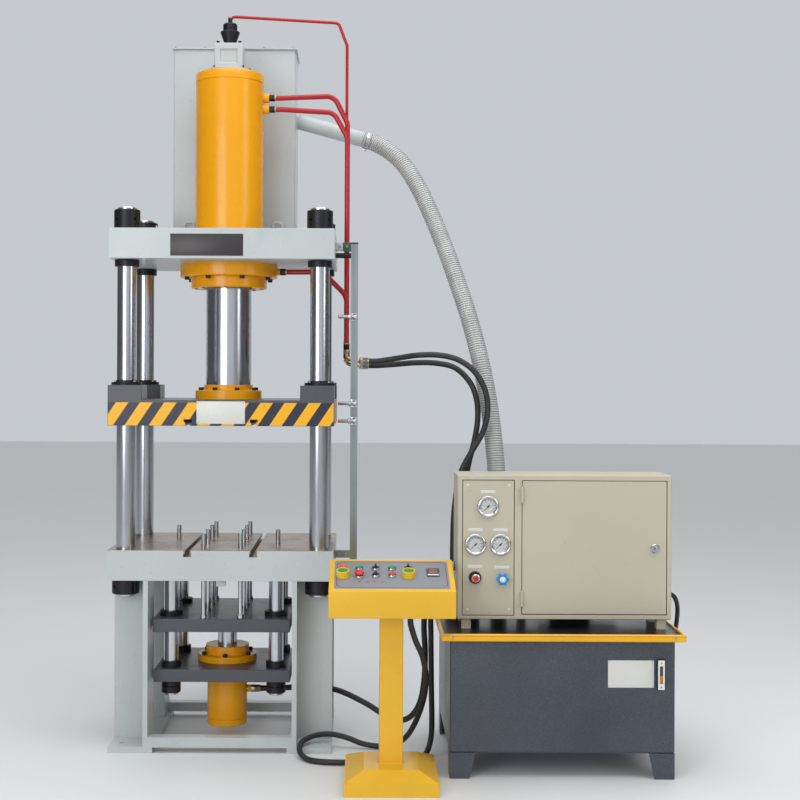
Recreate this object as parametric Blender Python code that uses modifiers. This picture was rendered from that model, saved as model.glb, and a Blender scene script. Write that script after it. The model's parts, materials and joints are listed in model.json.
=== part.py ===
# A four-column hydraulic press with its top oil tank, lower ejector, power unit and control console.
# Metres, +Z up, the press faces -Y. Positions below are written about the press axis on the floor,
# and one empty then shifts them all so that the origin is the middle of the whole floor area.

import math

import bmesh
import bpy
from mathutils import Matrix, Vector

CLEAR = 0.0003          # gap between pieces that touch
EMBED = 0.001           # how far fused shapes reach into each other
SIDES = 16              # sides of the columns and everything bored for them
BIG_SIDES = 24          # sides of the cylinder, the ram and their rings
ROD_SIDES = 12          # sides of the ejector's guide rods and other small round pieces
PIN_SIDES = 8           # sides of pins, bolts' holes and stems

# Table, crown and slide plates
PLATE_W = 1.03
PLATE_D = 0.72
TABLE_BOTTOM = 0.783
TABLE_T = 0.138
CROWN_BOTTOM = 2.249
CROWN_T = 0.140
SLIDE_BOTTOM = 1.488
SLIDE_T = 0.118
SLIDE_BOSS_W = 0.155
SLIDE_BOSS_H = 0.067
BUSH_R = 0.0695
BUSH_H = 0.022
PLATE_EDGE = 0.003

# Columns and their nuts
COLUMN_X = 0.445
COLUMN_Y = 0.265
COLUMN_R = 0.045
COLUMN_BORE_CLEAR = 0.0005
FOOT_NUT_R = 0.0625
FOOT_NUT_H = 0.070
COLLAR_R = 0.056
COLLAR_H = 0.031
TOP_NUT_R = 0.060
TOP_NUT_H = 0.090
COLUMN_END = 0.012

# T-slots in the table and the slide
SLOT_X = 0.150
SLOT_NECK = 0.022
SLOT_HEAD = 0.035
SLOT_NECK_DEPTH = 0.016
SLOT_DEPTH = 0.029

# Base frame
POST_INNER_X = 0.328
POST_PLATE_T = 0.022
POST_WEB_X = 0.508
POST_LENGTH = 0.184
FOOT_INNER_X = 0.306
FOOT_T = 0.028
BAR_BOTTOM = 0.026
BAR_TOP = 0.071
BAR_D = 0.055
ANCHOR_R = 0.013
ANCHOR_X = 0.455
ANCHOR_Y = 0.290
LUG_W = 0.044
LUG_H = 0.029
LUG_D = 0.030

# Main cylinder and ram
CYL_R = 0.1625
CYL_TOP = 3.163
CYL_CAP_H = 0.044
CYL_GROOVE = 0.003
FLANGE_R = 0.233
FLANGE_H = 0.062
GLAND_R = 0.182
GLAND_H = 0.051
GLAND_BOLT_RING = 0.208
GLAND_BOLT_R = 0.011
GLAND_BOLT_H = 0.014
GLAND_BOLTS = 8
RAM_R = 0.110
RAM_CLEAR = 0.0008
RAM_TOP = 2.760
CYL_ROOF = 0.060
RAM_FLANGE_R = 0.159
RAM_FLANGE_H = 0.042
RAM_COLLAR_R = 0.117
RAM_COLLAR_H = 0.026
PORT_UPPER_Z = 3.055
PORT_LOWER_Z = 3.000
PORT_BOSS_R = 0.023
PORT_BOSS_X = 0.190
FLANGE_PORT_X = 0.245
FLANGE_PORT_R = 0.016

# Prefill valve on the cylinder
VALVE_W = 0.136
VALVE_D = 0.150
VALVE_H = 0.140
VALVE_BASE_R = 0.105
VALVE_BASE_H = 0.022
VALVE_NECK_R = 0.029
VALVE_BELL_R = 0.047
VALVE_BELL_H = 0.050
VALVE_CAP_R = 0.034
VALVE_CAP_H = 0.040
VALVE_DUCT_R = 0.045

# Top oil tank
TOP_TANK_W = 0.606
TOP_TANK_D = 0.300
TOP_TANK_FRONT = 0.230
TOP_TANK_H = 0.956
STUB_R = 0.0385
STUB_Y = 0.380
STUB_Z = 3.018
STUB_LENGTH = 0.355
STUB_SLOPE = math.radians(15.3)
CLAMP_R = 0.046
CLAMP_W = 0.022
EYE_X = 0.218
EYE_Y = 0.195
EYE_W = 0.046
EYE_H = 0.088
EYE_R = 0.007
EYE_BEND = 0.014
GUSSET_X = 0.361
GUSSET_W = 0.062
GUSSET_H = 0.058
GUSSET_T = 0.012

# Red pipes
PIPE_R = 0.0125
PILOT_R = 0.0075
PIPE_X = 0.566
UPPER_PIPE_Y = 0.055
LOWER_PIPE_Y = 0.020
PILOT_PIPE_Y = 0.092
RETURN_PIPE_Y = -0.016
PIPE_FOOT_Z = 1.845
PIPE_BEND = 0.080
FITTING_R = 0.0165
FITTING_L = 0.032
COUPLING_R = 0.017
COUPLING_X = 0.672
COUPLING_Z = 1.790

# Limit-switch rail
RAIL_X = 0.604
RAIL_W = 0.034
RAIL_Y = -0.120
RAIL_TOP = 2.345
RAIL_BOTTOM = 0.850
RAIL_SLOT = 0.010
BRACKET_H = 0.034
SWITCH_Z = {"upper": 1.997, "middle": 1.5895, "lower": 1.507}
SWITCH_R = 0.009
SWITCH_TIP_X = 0.529
SWITCH_END_X = 0.6125
SWITCH_NUT_R = 0.0135
SWITCH_NUT_T = 0.005
SWITCH_Y = -0.156
SWITCH_PLATE_T = 0.004

# Ejector under the table
EJECT_ROD_X = 0.245
EJECT_ROD_Y = 0.180
EJECT_ROD_R = 0.035
EJECT_BASE_W = 0.630
EJECT_BASE_D = 0.520
EJECT_BASE_BOTTOM = 0.301
EJECT_BASE_T = 0.057
EJECT_NUT_R = 0.045
EJECT_NUT_H = 0.062
EJECT_COLLAR_R = 0.047
EJECT_COLLAR_H = 0.030
EJECT_PLATE_BOTTOM = 0.539
EJECT_PLATE_T = 0.060
EJECT_PLATE_D = 0.600
EJECT_BUSH_R = 0.054
EJECT_BUSH_H = 0.022
EJECT_CYL_R = 0.0955
EJECT_CYL_BOTTOM = 0.050
EJECT_FLANGE_R = 0.140
EJECT_FLANGE_H = 0.030
EJECT_GLAND_R = 0.1035
EJECT_GLAND_H = 0.042
EJECT_BOLT_RING = 0.122
EJECT_RAM_R = 0.046
EJECT_RAM_BOTTOM = 0.185
EJECT_BORE_BOTTOM = 0.075
EJECT_PORT_Z = 0.215
EJECT_SIDES = 20
PIN_R = 0.011
PIN_TOP = 0.990
PIN_X = 0.085
PIN_ROWS = (-0.270, -0.090, 0.090, 0.270)
SIDE_PIN_X = 0.247
SIDE_PIN_Y = 0.090
PIN_HOLE_R = 0.0125

# Power unit: tank, tray and what stands on it
TANK_X0 = 1.0225
TANK_W = 0.961
TANK_FRONT = -0.730
TANK_D = 0.800
TANK_BOTTOM = 0.110
TANK_H = 0.4827
LEG_TOP = 0.110
LEG_FOOT = 0.085
LEG_WALL = 0.010
RIM_OUT = 0.0395
RIM_BOTTOM = 0.593
RIM_H = 0.031
RIM_WALL = 0.012
TRAY_DROP = 0.008
GAUGE_STRIP_X = 1.906
GAUGE_STRIP_W = 0.030
GAUGE_STRIP_Z0 = 0.386
GAUGE_STRIP_H = 0.127
GAUGE_STRIP_T = 0.018
SPIGOT_X = 1.287
SPIGOT_Y = -0.155
SPIGOT_R = 0.038
SPIGOT_TOP = 0.740

# Electric cabinet with its gauge panel
CAB_X0 = 1.061
CAB_W = 0.933
CAB_FRONT = -0.610
CAB_D = 0.250
CAB_BOTTOM = 0.660
CAB_H = 0.628
CAB_WALL = 0.004
CAB_POST = 0.040
CAB_DIVIDER_X = 1.322
DOOR_X0 = 1.343
DOOR_W = 0.629
DOOR_Z0 = 0.683
DOOR_H = 0.580
DOOR_T = 0.018
DOOR_GAP = 0.003
KNUCKLE_R = 0.007
KNUCKLE_L = 0.036
KNUCKLE_END = 0.014
HINGE_Z = (0.750, 1.203)
LEAF_T = 0.0025
LEAF_W = 0.022
LOCK_X = 1.921
LOCK_Z = 0.971
LOCK_R = 0.020
LOCK_H = 0.008
LOCK_SHAFT_R = 0.008
CABINET_CABLE_Y = -0.450
KEY_W = 0.022
KEY_H = 0.026
KEY_T = 0.0025
PANEL_X0 = 1.0838
PANEL_W = 0.2228
PANEL_Z0 = 0.679
PANEL_H = 0.586
PANEL_T = 0.003
DIAL_R = 0.046
DIAL_RIM = 0.006
DIAL_H = 0.014
DIAL_RECESS = 0.010
NEEDLE_LENGTH = 0.029
NEEDLE_W = 0.003
NEEDLE_HUB_R = 0.004
SPINDLE_R = 0.002
DIALS = {"main": (1.193, 1.151), "left": (1.138, 0.985), "right": (1.247, 0.985)}
THROTTLE_X = 1.138
THROTTLE_Z = 0.8415
THROTTLE_R = 0.019
THROTTLE_L = 0.040
STAR_X = 1.2547
STAR_Z = 0.838
STAR_R = 0.029
STAR_T = 0.018
STAR_LOBES = 6
KNOB_STEM_R = 0.007
KNOB_STEM_L = 0.022

# Motor, pump and valve block behind the cabinet
MOTOR_X0 = 1.480
MOTOR_L = 0.330
MOTOR_R = 0.120
MOTOR_Y = -0.140
MOTOR_Z = 0.790
MOTOR_FINS = 10
FAN_R = 0.112
PUMP_X0 = 1.375
PUMP_R = 0.065
BELL_R = 0.085
BLOCK_X0 = 1.036
BLOCK_W = 0.150
BLOCK_FRONT = -0.300
BLOCK_D = 0.210
BLOCK_H = 0.130
SOLENOID_R = 0.024

# Control console
CONSOLE_X = 0.770
CONSOLE_FRONT = -0.950
CONSOLE_W = 0.525
CONSOLE_D = 0.290
CONSOLE_BOTTOM = 0.720
CONSOLE_FRONT_H = 0.114
CONSOLE_BACK_H = 0.206
POST_W = 0.100
POST_Y = -0.775
STAND_W = 0.388
STAND_FRONT = -0.994
STAND_D = 0.434
STAND_LIP = 0.056
STAND_H = 0.090
STAND_INSET = 0.080
GLAND_FIT_R = 0.020
GLAND_FIT_L = 0.013
BOX_CABLE_X = 0.850
BOX_CABLE_Y = -0.800
BUTTON_COLUMNS = (-0.205, -0.136, -0.067, 0.002, 0.071)
BUTTON_ROWS = (0.20, 0.135)     # distance up the sloping panel from its front edge
BUTTON_SIDES = 12
RING_R = 0.0175
RING_H = 0.006
BUTTON_R = 0.0135
BUTTON_H = 0.009
BUTTON_STEM_R = 0.006
BUTTON_STEM = 0.014
BUTTON_HOLE_R = 0.0068
SELECTOR_R = 0.0145
SELECTOR_H = 0.008
GRIP_W = 0.008
GRIP_H = 0.012
MUSHROOM_R = 0.021
MUSHROOM_H = 0.020
COUNTER_U = 0.175
COUNTER_V = 0.17
COUNTER_W = 0.052
COUNTER_D = 0.072
COUNTER_T = 0.006

# Hoses and cables, each a smooth curve through the points below
SUCTION_R = 0.0425
PRESSURE_R = 0.0135
CABLE_R = 0.0125
POWER_CABLE_R = 0.010
CABLE_Z = CABLE_R + 0.001    # height of a cable that lies on the floor

COLORS = {
    "grey_paint": ((0.50, 0.56, 0.57), 0.45, 0.0),
    "orange_paint": ((0.80, 0.36, 0.01), 0.35, 0.0),
    "console_yellow": ((0.76, 0.45, 0.03), 0.40, 0.0),
    "tank_hammer": ((0.055, 0.06, 0.08), 0.40, 0.2),
    "slide_paint": ((0.07, 0.075, 0.09), 0.50, 0.0),
    "cabinet_paint": ((0.48, 0.45, 0.36), 0.50, 0.0),
    "black_oxide": ((0.03, 0.03, 0.035), 0.40, 0.6),
    "chrome": ((0.75, 0.77, 0.80), 0.12, 1.0),
    "machined": ((0.42, 0.36, 0.30), 0.35, 0.9),
    "red_paint": ((0.38, 0.02, 0.025), 0.35, 0.0),
    "aluminium": ((0.40, 0.44, 0.46), 0.40, 0.9),
    "rubber": ((0.02, 0.02, 0.02), 0.60, 0.0),
    "clear_hose": ((0.62, 0.66, 0.64), 0.25, 0.0),
    "dial_white": ((0.85, 0.85, 0.83), 0.40, 0.0),
    "red_plastic": ((0.65, 0.03, 0.02), 0.30, 0.0),
    "green_plastic": ((0.03, 0.42, 0.12), 0.30, 0.0),
    "black_plastic": ((0.02, 0.02, 0.022), 0.35, 0.0),
    "blue_plastic": ((0.02, 0.20, 0.55), 0.35, 0.0),
}

COLUMN_TOP = CROWN_BOTTOM + CROWN_T + TOP_NUT_H + COLUMN_END
TABLE_TOP = TABLE_BOTTOM + TABLE_T
CROWN_TOP = CROWN_BOTTOM + CROWN_T
SLIDE_TOP = SLIDE_BOTTOM + SLIDE_T
BORE_R = COLUMN_R + COLUMN_BORE_CLEAR
TRAY_TOP = RIM_BOTTOM + RIM_H - TRAY_DROP
TANK_Y = TANK_FRONT + TANK_D / 2
STAND_BACK = STAND_FRONT + STAND_D
RIGHT_SIDE = TANK_X0 + TANK_W + RIM_OUT
PRESS_X = -(RIGHT_SIDE - PLATE_W / 2) / 2
PRESS_Y = -(STAND_FRONT + TOP_TANK_FRONT + TOP_TANK_D) / 2
SIGNS = (-1, 1)


def clear_scene():
    for old in list(bpy.data.objects):
        bpy.data.objects.remove(old, do_unlink=True)


def collection(name, hidden=False):
    made = bpy.data.collections.new(name)
    bpy.context.scene.collection.children.link(made)
    made.hide_render = hidden
    return made


clear_scene()
PARTS = collection("hydraulic_press")
CUTTERS = collection("cutters", hidden=True)
MATERIALS = {}


def material(name):
    """The named paint, metal or plastic, made once."""
    if name not in MATERIALS:
        color, roughness, metallic = COLORS[name]
        made = bpy.data.materials.new(name)
        made.use_nodes = True
        shader = made.node_tree.nodes["Principled BSDF"]
        shader.inputs["Base Color"].default_value = (*color, 1)
        shader.inputs["Roughness"].default_value = roughness
        shader.inputs["Metallic"].default_value = metallic
        MATERIALS[name] = made
    return MATERIALS[name]


def empty(name, place, parent=None):
    made = bpy.data.objects.new(name, None)
    made.location = place
    made.parent = parent
    PARTS.objects.link(made)
    return made


PRESS = empty("press_axis", (PRESS_X, PRESS_Y, 0))


def new_object(name, mesh, place=(0, 0, 0), turn=None, parent=None):
    """A new object under the press axis. Shapes without a finish are helpers, made to be fused or cut."""
    made = bpy.data.objects.new(name, mesh)
    made.location = place
    if turn is not None:
        made.rotation_euler = turn
    made.parent = parent or PRESS
    PARTS.objects.link(made)
    return made


def from_bmesh(name, shape, place, turn=None, parent=None):
    mesh = bpy.data.meshes.new(name)
    bmesh.ops.recalc_face_normals(shape, faces=shape.faces)
    shape.to_mesh(mesh)
    shape.free()
    return new_object(name, mesh, place, turn, parent)


def box(name, low, high, bevel=0.0, parent=None):
    """A box between two corners, with its object at the box's middle."""
    middle = [(a + b) / 2 for a, b in zip(low, high)]
    shape = bmesh.new()
    bmesh.ops.create_cube(shape, size=1)
    bmesh.ops.scale(shape, vec=[b - a for a, b in zip(low, high)], verts=shape.verts)
    made = from_bmesh(name, shape, middle, parent=parent)
    if bevel:
        soften(made, bevel)
    return made


def soften(obj, width, segments=1):
    modifier = obj.modifiers.new("edges", "BEVEL")
    modifier.width = width
    modifier.segments = segments
    modifier.limit_method = "ANGLE"
    modifier.angle_limit = math.radians(40)


def rod(name, radius, start, end, sides=SIDES, end_radius=None, parent=None):
    """A cylinder or cone from one point to another."""
    start, end = Vector(start), Vector(end)
    along = end - start
    shape = bmesh.new()
    bmesh.ops.create_cone(
        shape, cap_ends=True, segments=sides, radius1=radius,
        radius2=radius if end_radius is None else end_radius, depth=along.length,
    )
    turn = along.to_track_quat("Z", "Y").to_euler()
    return from_bmesh(name, shape, (start + end) / 2, turn, parent)


def turned(name, profile, place=(0, 0, 0), turn=None, sides=SIDES, closed=False, parent=None):
    """A body turned about its own Z from (radius, height) points, listed down its outer side."""
    mesh = bpy.data.meshes.new(name)
    edges = [(i, i + 1) for i in range(len(profile) - 1)]
    if closed:
        edges.append((len(profile) - 1, 0))
    mesh.from_pydata([(r, 0, z) for r, z in profile], edges, [])
    made = new_object(name, mesh, place, turn, parent)
    screw = made.modifiers.new("turn", "SCREW")
    screw.steps = screw.render_steps = sides
    screw.use_merge_vertices = True
    screw.merge_threshold = 0.0001
    screw.use_normal_calculate = False
    return made


def prism(name, outline, thickness, place, turn=None, parent=None):
    """A flat outline in its own XY plane, given a thickness about that plane."""
    curve = bpy.data.curves.new(name, "CURVE")
    curve.dimensions = "2D"
    curve.fill_mode = "BOTH"
    curve.extrude = thickness / 2
    spline = curve.splines.new("POLY")
    spline.points.add(len(outline) - 1)
    for point, (x, y) in zip(spline.points, outline):
        point.co = (x, y, 0, 1)
    spline.use_cyclic_u = True
    return to_mesh(new_object(name, curve, place, turn, parent))


def to_mesh(obj):
    """The curve object as a mesh object of the same name, place and parent, with its caps welded on."""
    bpy.context.view_layer.update()
    graph = bpy.context.evaluated_depsgraph_get()
    mesh = bpy.data.meshes.new_from_object(obj.evaluated_get(graph))
    shape = bmesh.new()
    shape.from_mesh(mesh)
    bmesh.ops.remove_doubles(shape, verts=shape.verts, dist=0.00002)
    bmesh.ops.recalc_face_normals(shape, faces=shape.faces)
    shape.to_mesh(mesh)
    shape.free()
    name, world, parent = obj.name, obj.matrix_world.copy(), obj.parent
    bpy.data.objects.remove(obj, do_unlink=True)
    made = bpy.data.objects.new(name, mesh)
    made.parent = parent
    PARTS.objects.link(made)
    bpy.context.view_layer.update()
    made.matrix_world = world
    return made


def smooth_route(points, spacing):
    """Points at an even spacing on a smooth curve through the given ones, whose first and last legs stay straight."""
    points = [Vector(p) for p in points]
    fine = []
    for a, b, c, d in zip(points, points[1:], points[2:], points[3:]):
        for step in range(20):
            t = step / 20
            fine.append(
                0.5 * ((2 * b) + (c - a) * t + (2 * a - 5 * b + 4 * c - d) * t**2
                       + (3 * b - a - 3 * c + d) * t**3)
            )
    fine.append(points[-2])
    reach = [0.0]
    for a, b in zip(fine, fine[1:]):
        reach.append(reach[-1] + (b - a).length)
    count = max(2, round(reach[-1] / spacing))
    route, at = [], 0
    for step in range(count + 1):
        want = reach[-1] * step / count
        while at < len(reach) - 2 and reach[at + 1] < want:
            at += 1
        share = (want - reach[at]) / max(reach[at + 1] - reach[at], 1e-9)
        route.append(fine[at].lerp(fine[at + 1], min(share, 1.0)))
    return [points[0], *route, points[-1]]


def bent_route(corners, radius, steps=4):
    """A pipe's centre line: straight runs between corners, with a bend of the given radius at each."""
    corners = [Vector(c) for c in corners]
    route = [corners[0]]
    for before, corner, after in zip(corners, corners[1:], corners[2:]):
        into, out = (before - corner).normalized(), (after - corner).normalized()
        half = into.angle(out) / 2
        reach = radius / math.tan(half)
        middle = corner + (into + out).normalized() * radius / math.sin(half)
        first = corner + into * reach - middle
        last = corner + out * reach - middle
        for step in range(steps + 1):
            share = step / steps
            route.append(middle + first.slerp(last, share) * radius / first.slerp(last, share).length)
    route.append(corners[-1])
    return route


def tube(name, route, radius, resolution=2, parent=None):
    """A round tube along a route, as a curve with filled ends."""
    curve = bpy.data.curves.new(name, "CURVE")
    curve.dimensions = "3D"
    curve.bevel_depth = radius
    curve.bevel_resolution = resolution
    curve.use_fill_caps = True
    spline = curve.splines.new("POLY")
    spline.points.add(len(route) - 1)
    for point, place in zip(spline.points, route):
        point.co = (*place, 1)
    return new_object(name, curve, parent=parent)


def helper(obj):
    """Moves an object to the cutters, out of the finished model."""
    PARTS.objects.unlink(obj)
    CUTTERS.objects.link(obj)
    obj.hide_render = True
    obj.display_type = "WIRE"


def combine(target, tools, operation):
    for tool in tools:
        helper(tool)
        modifier = target.modifiers.new(tool.name, "BOOLEAN")
        modifier.operation = operation
        modifier.solver = "EXACT"
        modifier.object = tool
    return target


def fuse(target, *tools):
    return combine(target, tools, "UNION")


def cut(target, *tools):
    return combine(target, tools, "DIFFERENCE")


def finish(obj, paint, smooth=True):
    """Gives a piece its material and shades its round faces smooth."""
    obj.data.materials.clear()
    obj.data.materials.append(material(paint))
    if smooth and obj.type == "MESH":
        obj.data.shade_smooth()
        obj.data.set_sharp_from_angle(angle=math.radians(35))
    return obj


def column_places():
    for front, y in (("front", -COLUMN_Y), ("rear", COLUMN_Y)):
        for side, x in (("left", -COLUMN_X), ("right", COLUMN_X)):
            yield f"column_{front}_{side}", x, y


def column_bores(low, high, radius=BORE_R):
    """Cutters for the four column bores through a plate."""
    return [rod(f"bore_{name}", radius, (x, y, low - EMBED), (x, y, high + EMBED)) for name, x, y in column_places()]


def t_slot(name, x, face, inward):
    """A cutter for one T-slot along Y. inward is -1 for a slot cut down from a top face."""
    outline = [(-SLOT_NECK / 2, -EMBED), (-SLOT_NECK / 2, SLOT_NECK_DEPTH), (-SLOT_HEAD / 2, SLOT_NECK_DEPTH),
               (-SLOT_HEAD / 2, SLOT_DEPTH), (SLOT_HEAD / 2, SLOT_DEPTH), (SLOT_HEAD / 2, SLOT_NECK_DEPTH),
               (SLOT_NECK / 2, SLOT_NECK_DEPTH), (SLOT_NECK / 2, -EMBED)]
    turn = (math.radians(90), 0, 0)
    profile = [(u, inward * v) for u, v in outline]
    return prism(name, profile, PLATE_D + 4 * EMBED, (x, 0, face), turn)


def pin_places():
    """The ten ejector pins: two rows of four, and one further out on each side."""
    for row, y in enumerate(PIN_ROWS):
        for x in (-PIN_X, PIN_X):
            yield f"pin_{row}_{'left' if x < 0 else 'right'}", x, y
    yield "pin_far_left", -SIDE_PIN_X, SIDE_PIN_Y
    yield "pin_far_right", SIDE_PIN_X, -SIDE_PIN_Y


def base_frame():
    """Four L-section posts on two foot plates, tied by a low bar at the front and the back."""
    half_d = PLATE_D / 2
    top = TABLE_BOTTOM - CLEAR
    feet = []
    for sx in SIGNS:
        xs = sorted((sx * FOOT_INNER_X, sx * POST_WEB_X))
        feet.append(box(f"foot_plate_{sx}", (xs[0], -half_d, 0), (xs[1], half_d, FOOT_T)))
    frame = feet[0]
    frame.name = "base_frame"
    walls = [feet[1]]
    for sx in SIGNS:
        for sy in SIGNS:
            side_x = sorted((sx * POST_INNER_X, sx * (POST_INNER_X + POST_PLATE_T)))
            side_y = sorted((sy * half_d, sy * (half_d - POST_LENGTH)))
            web_x = sorted((sx * (POST_INNER_X + EMBED), sx * POST_WEB_X))
            web_y = sorted((sy * (half_d - POST_LENGTH), sy * (half_d - POST_LENGTH + POST_PLATE_T)))
            walls.append(box(f"post_side_{sx}_{sy}", (side_x[0], side_y[0], EMBED), (side_x[1], side_y[1], top)))
            walls.append(box(f"post_web_{sx}_{sy}", (web_x[0], web_y[0], 2 * EMBED), (web_x[1], web_y[1], top)))
    for sy in SIGNS:
        bar_y = sorted((sy * half_d, sy * (half_d - BAR_D)))
        reach = POST_INNER_X + EMBED
        walls.append(box(f"tie_bar_{sy}", (-reach, bar_y[0], BAR_BOTTOM), (reach, bar_y[1], BAR_TOP)))
    fuse(frame, *walls)
    anchors = [
        rod(f"anchor_hole_{sx}_{sy}", ANCHOR_R, (sx * ANCHOR_X, sy * ANCHOR_Y, -EMBED),
            (sx * ANCHOR_X, sy * ANCHOR_Y, FOOT_T + EMBED), sides=ROD_SIDES)
        for sx in SIGNS for sy in SIGNS
    ]
    cut(frame, *anchors)
    return finish(frame, "grey_paint", smooth=False)


def plate(name, bottom, top, bevel=PLATE_EDGE):
    return box(name, (-PLATE_W / 2, -PLATE_D / 2, bottom), (PLATE_W / 2, PLATE_D / 2, top), bevel)


def table():
    """The table plate with column bores, two T-slots, the ejector pins' holes and a small front lug."""
    made = plate("table", TABLE_BOTTOM, TABLE_TOP)
    front = -PLATE_D / 2
    lug = box("table_lug", (-LUG_W / 2, front + LUG_D, TABLE_BOTTOM - LUG_H),
              (LUG_W / 2, front + 2 * LUG_D, TABLE_BOTTOM + EMBED))
    fuse(made, lug)
    cut(made, *column_bores(TABLE_BOTTOM, TABLE_TOP))
    cut(made, t_slot("table_slot_left", -SLOT_X, TABLE_TOP, -1), t_slot("table_slot_right", SLOT_X, TABLE_TOP, -1))
    holes = [
        rod(f"table_{name}", PIN_HOLE_R, (x, y, TABLE_BOTTOM - EMBED), (x, y, TABLE_TOP + EMBED), sides=PIN_SIDES)
        for name, x, y in pin_places()
    ]
    cut(made, *holes)
    return finish(made, "machined", smooth=False)


def column(name, x, y):
    """A column with its foot nut, the collar under the crown and the top nut, as one turned solid."""
    table_gap, crown_gap = TABLE_BOTTOM - CLEAR, CROWN_BOTTOM - CLEAR
    r = COLUMN_R
    nut_seat = CROWN_TOP + CLEAR
    profile = [
        (0, COLUMN_TOP), (r - 0.006, COLUMN_TOP), (r, COLUMN_TOP - 0.006),
        (r, nut_seat + TOP_NUT_H), (TOP_NUT_R, nut_seat + TOP_NUT_H), (TOP_NUT_R, nut_seat), (r, nut_seat),
        (r, crown_gap), (COLLAR_R, crown_gap), (COLLAR_R, crown_gap - COLLAR_H), (r, crown_gap - COLLAR_H),
        (r, table_gap), (FOOT_NUT_R, table_gap), (FOOT_NUT_R, table_gap - FOOT_NUT_H),
        (r, table_gap - FOOT_NUT_H), (r, table_gap - FOOT_NUT_H - COLUMN_END), (0, table_gap - FOOT_NUT_H - COLUMN_END),
    ]
    return finish(turned(name, profile, (x, y, 0)), "chrome")


def crown():
    """The crown plate, bored for the columns and the cylinder, with a corner gusset."""
    made = plate("crown", CROWN_BOTTOM, CROWN_TOP)
    outline = [(0, -EMBED), (GUSSET_W, -EMBED), (0, GUSSET_H)]
    gusset = prism("crown_gusset", outline, GUSSET_T, (-GUSSET_X, 0.05, CROWN_TOP), (math.radians(90), 0, 0))
    fuse(made, gusset)
    cut(made, *column_bores(CROWN_BOTTOM, CROWN_TOP))
    cut(made, rod("crown_bore", CYL_R + CLEAR, (0, 0, CROWN_BOTTOM - EMBED), (0, 0, CROWN_TOP + EMBED), sides=BIG_SIDES))
    return finish(made, "grey_paint", smooth=False)


def lifting_eye(side, sx):
    """A round bar bent to a loop, standing on the crown."""
    x0, x1 = sx * EYE_X - EYE_W / 2, sx * EYE_X + EYE_W / 2
    foot, top = CROWN_TOP + CLEAR, CROWN_TOP + EYE_H
    path = bent_route([(x0, EYE_Y, foot), (x0, EYE_Y, top), (x1, EYE_Y, top), (x1, EYE_Y, foot)], EYE_BEND, 3)
    made = to_mesh(tube(f"lifting_eye_{side}", path, EYE_R, 1))
    return finish(made, "grey_paint", smooth=False)


def hexagon(name, radius, start, end):
    return rod(name, radius, start, end, sides=6)


def main_cylinder():
    """The barrel with its cap seam, the flange that seats under the crown, its ports and its bolt heads."""
    seat = CROWN_BOTTOM - CLEAR
    foot = seat - FLANGE_H
    seam = CYL_TOP - CYL_CAP_H
    bore = RAM_R + RAM_CLEAR
    profile = [
        (0, CYL_TOP), (CYL_R - 0.005, CYL_TOP), (CYL_R, CYL_TOP - 0.005),
        (CYL_R, seam + CYL_GROOVE), (CYL_R - CYL_GROOVE, seam), (CYL_R, seam - CYL_GROOVE),
        (CYL_R, seat), (FLANGE_R, seat), (FLANGE_R, foot + 0.004), (FLANGE_R - 0.004, foot),
        (bore, foot), (bore, CYL_TOP - CYL_ROOF), (0, CYL_TOP - CYL_ROOF),
    ]
    made = turned("main_cylinder", profile, sides=BIG_SIDES)
    inside = CYL_R - 0.010
    ports = [
        rod("upper_port", PORT_BOSS_R, (inside, 0, PORT_UPPER_Z), (PORT_BOSS_X, 0, PORT_UPPER_Z), 12),
        rod("lower_port", PORT_BOSS_R, (inside, 0, PORT_LOWER_Z), (PORT_BOSS_X, 0, PORT_LOWER_Z), 12),
        rod("flange_port", FLANGE_PORT_R, (FLANGE_R - 0.010, 0, foot + FLANGE_H / 2),
            (FLANGE_PORT_X, 0, foot + FLANGE_H / 2), 12),
    ]
    for index in range(GLAND_BOLTS):
        angle = math.tau * (index + 0.5) / GLAND_BOLTS
        x, y = GLAND_BOLT_RING * math.cos(angle), GLAND_BOLT_RING * math.sin(angle)
        ports.append(hexagon(f"flange_bolt_{index}", GLAND_BOLT_R, (x, y, foot - GLAND_BOLT_H), (x, y, foot + EMBED)))
    fuse(made, *ports)
    return finish(made, "orange_paint")


def gland_ring():
    top = CROWN_BOTTOM - FLANGE_H - 2 * CLEAR
    bore = RAM_R + RAM_CLEAR
    profile = [(bore, top), (GLAND_R, top), (GLAND_R, top - GLAND_H + 0.004), (GLAND_R - 0.004, top - GLAND_H),
               (bore + 0.006, top - GLAND_H), (bore, top - GLAND_H + 0.006)]
    return finish(turned("gland_ring", profile, sides=BIG_SIDES, closed=True), "orange_paint")


def ram():
    foot = SLIDE_TOP + CLEAR
    profile = [(0, RAM_TOP), (RAM_R - 0.006, RAM_TOP), (RAM_R, RAM_TOP - 0.006), (RAM_R, foot), (0, foot)]
    return finish(turned("ram", profile, sides=BIG_SIDES), "chrome")


def ram_flange():
    """The stepped ring that clamps the ram's foot to the slide."""
    foot = SLIDE_TOP + CLEAR
    bore = RAM_R + CLEAR
    step = foot + RAM_FLANGE_H
    profile = [(bore, step + RAM_COLLAR_H), (RAM_COLLAR_R, step + RAM_COLLAR_H), (RAM_COLLAR_R, step),
               (RAM_FLANGE_R - 0.003, step), (RAM_FLANGE_R, step - 0.003), (RAM_FLANGE_R, foot), (bore, foot)]
    return finish(turned("ram_flange", profile, sides=BIG_SIDES, closed=True), "orange_paint")


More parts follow.
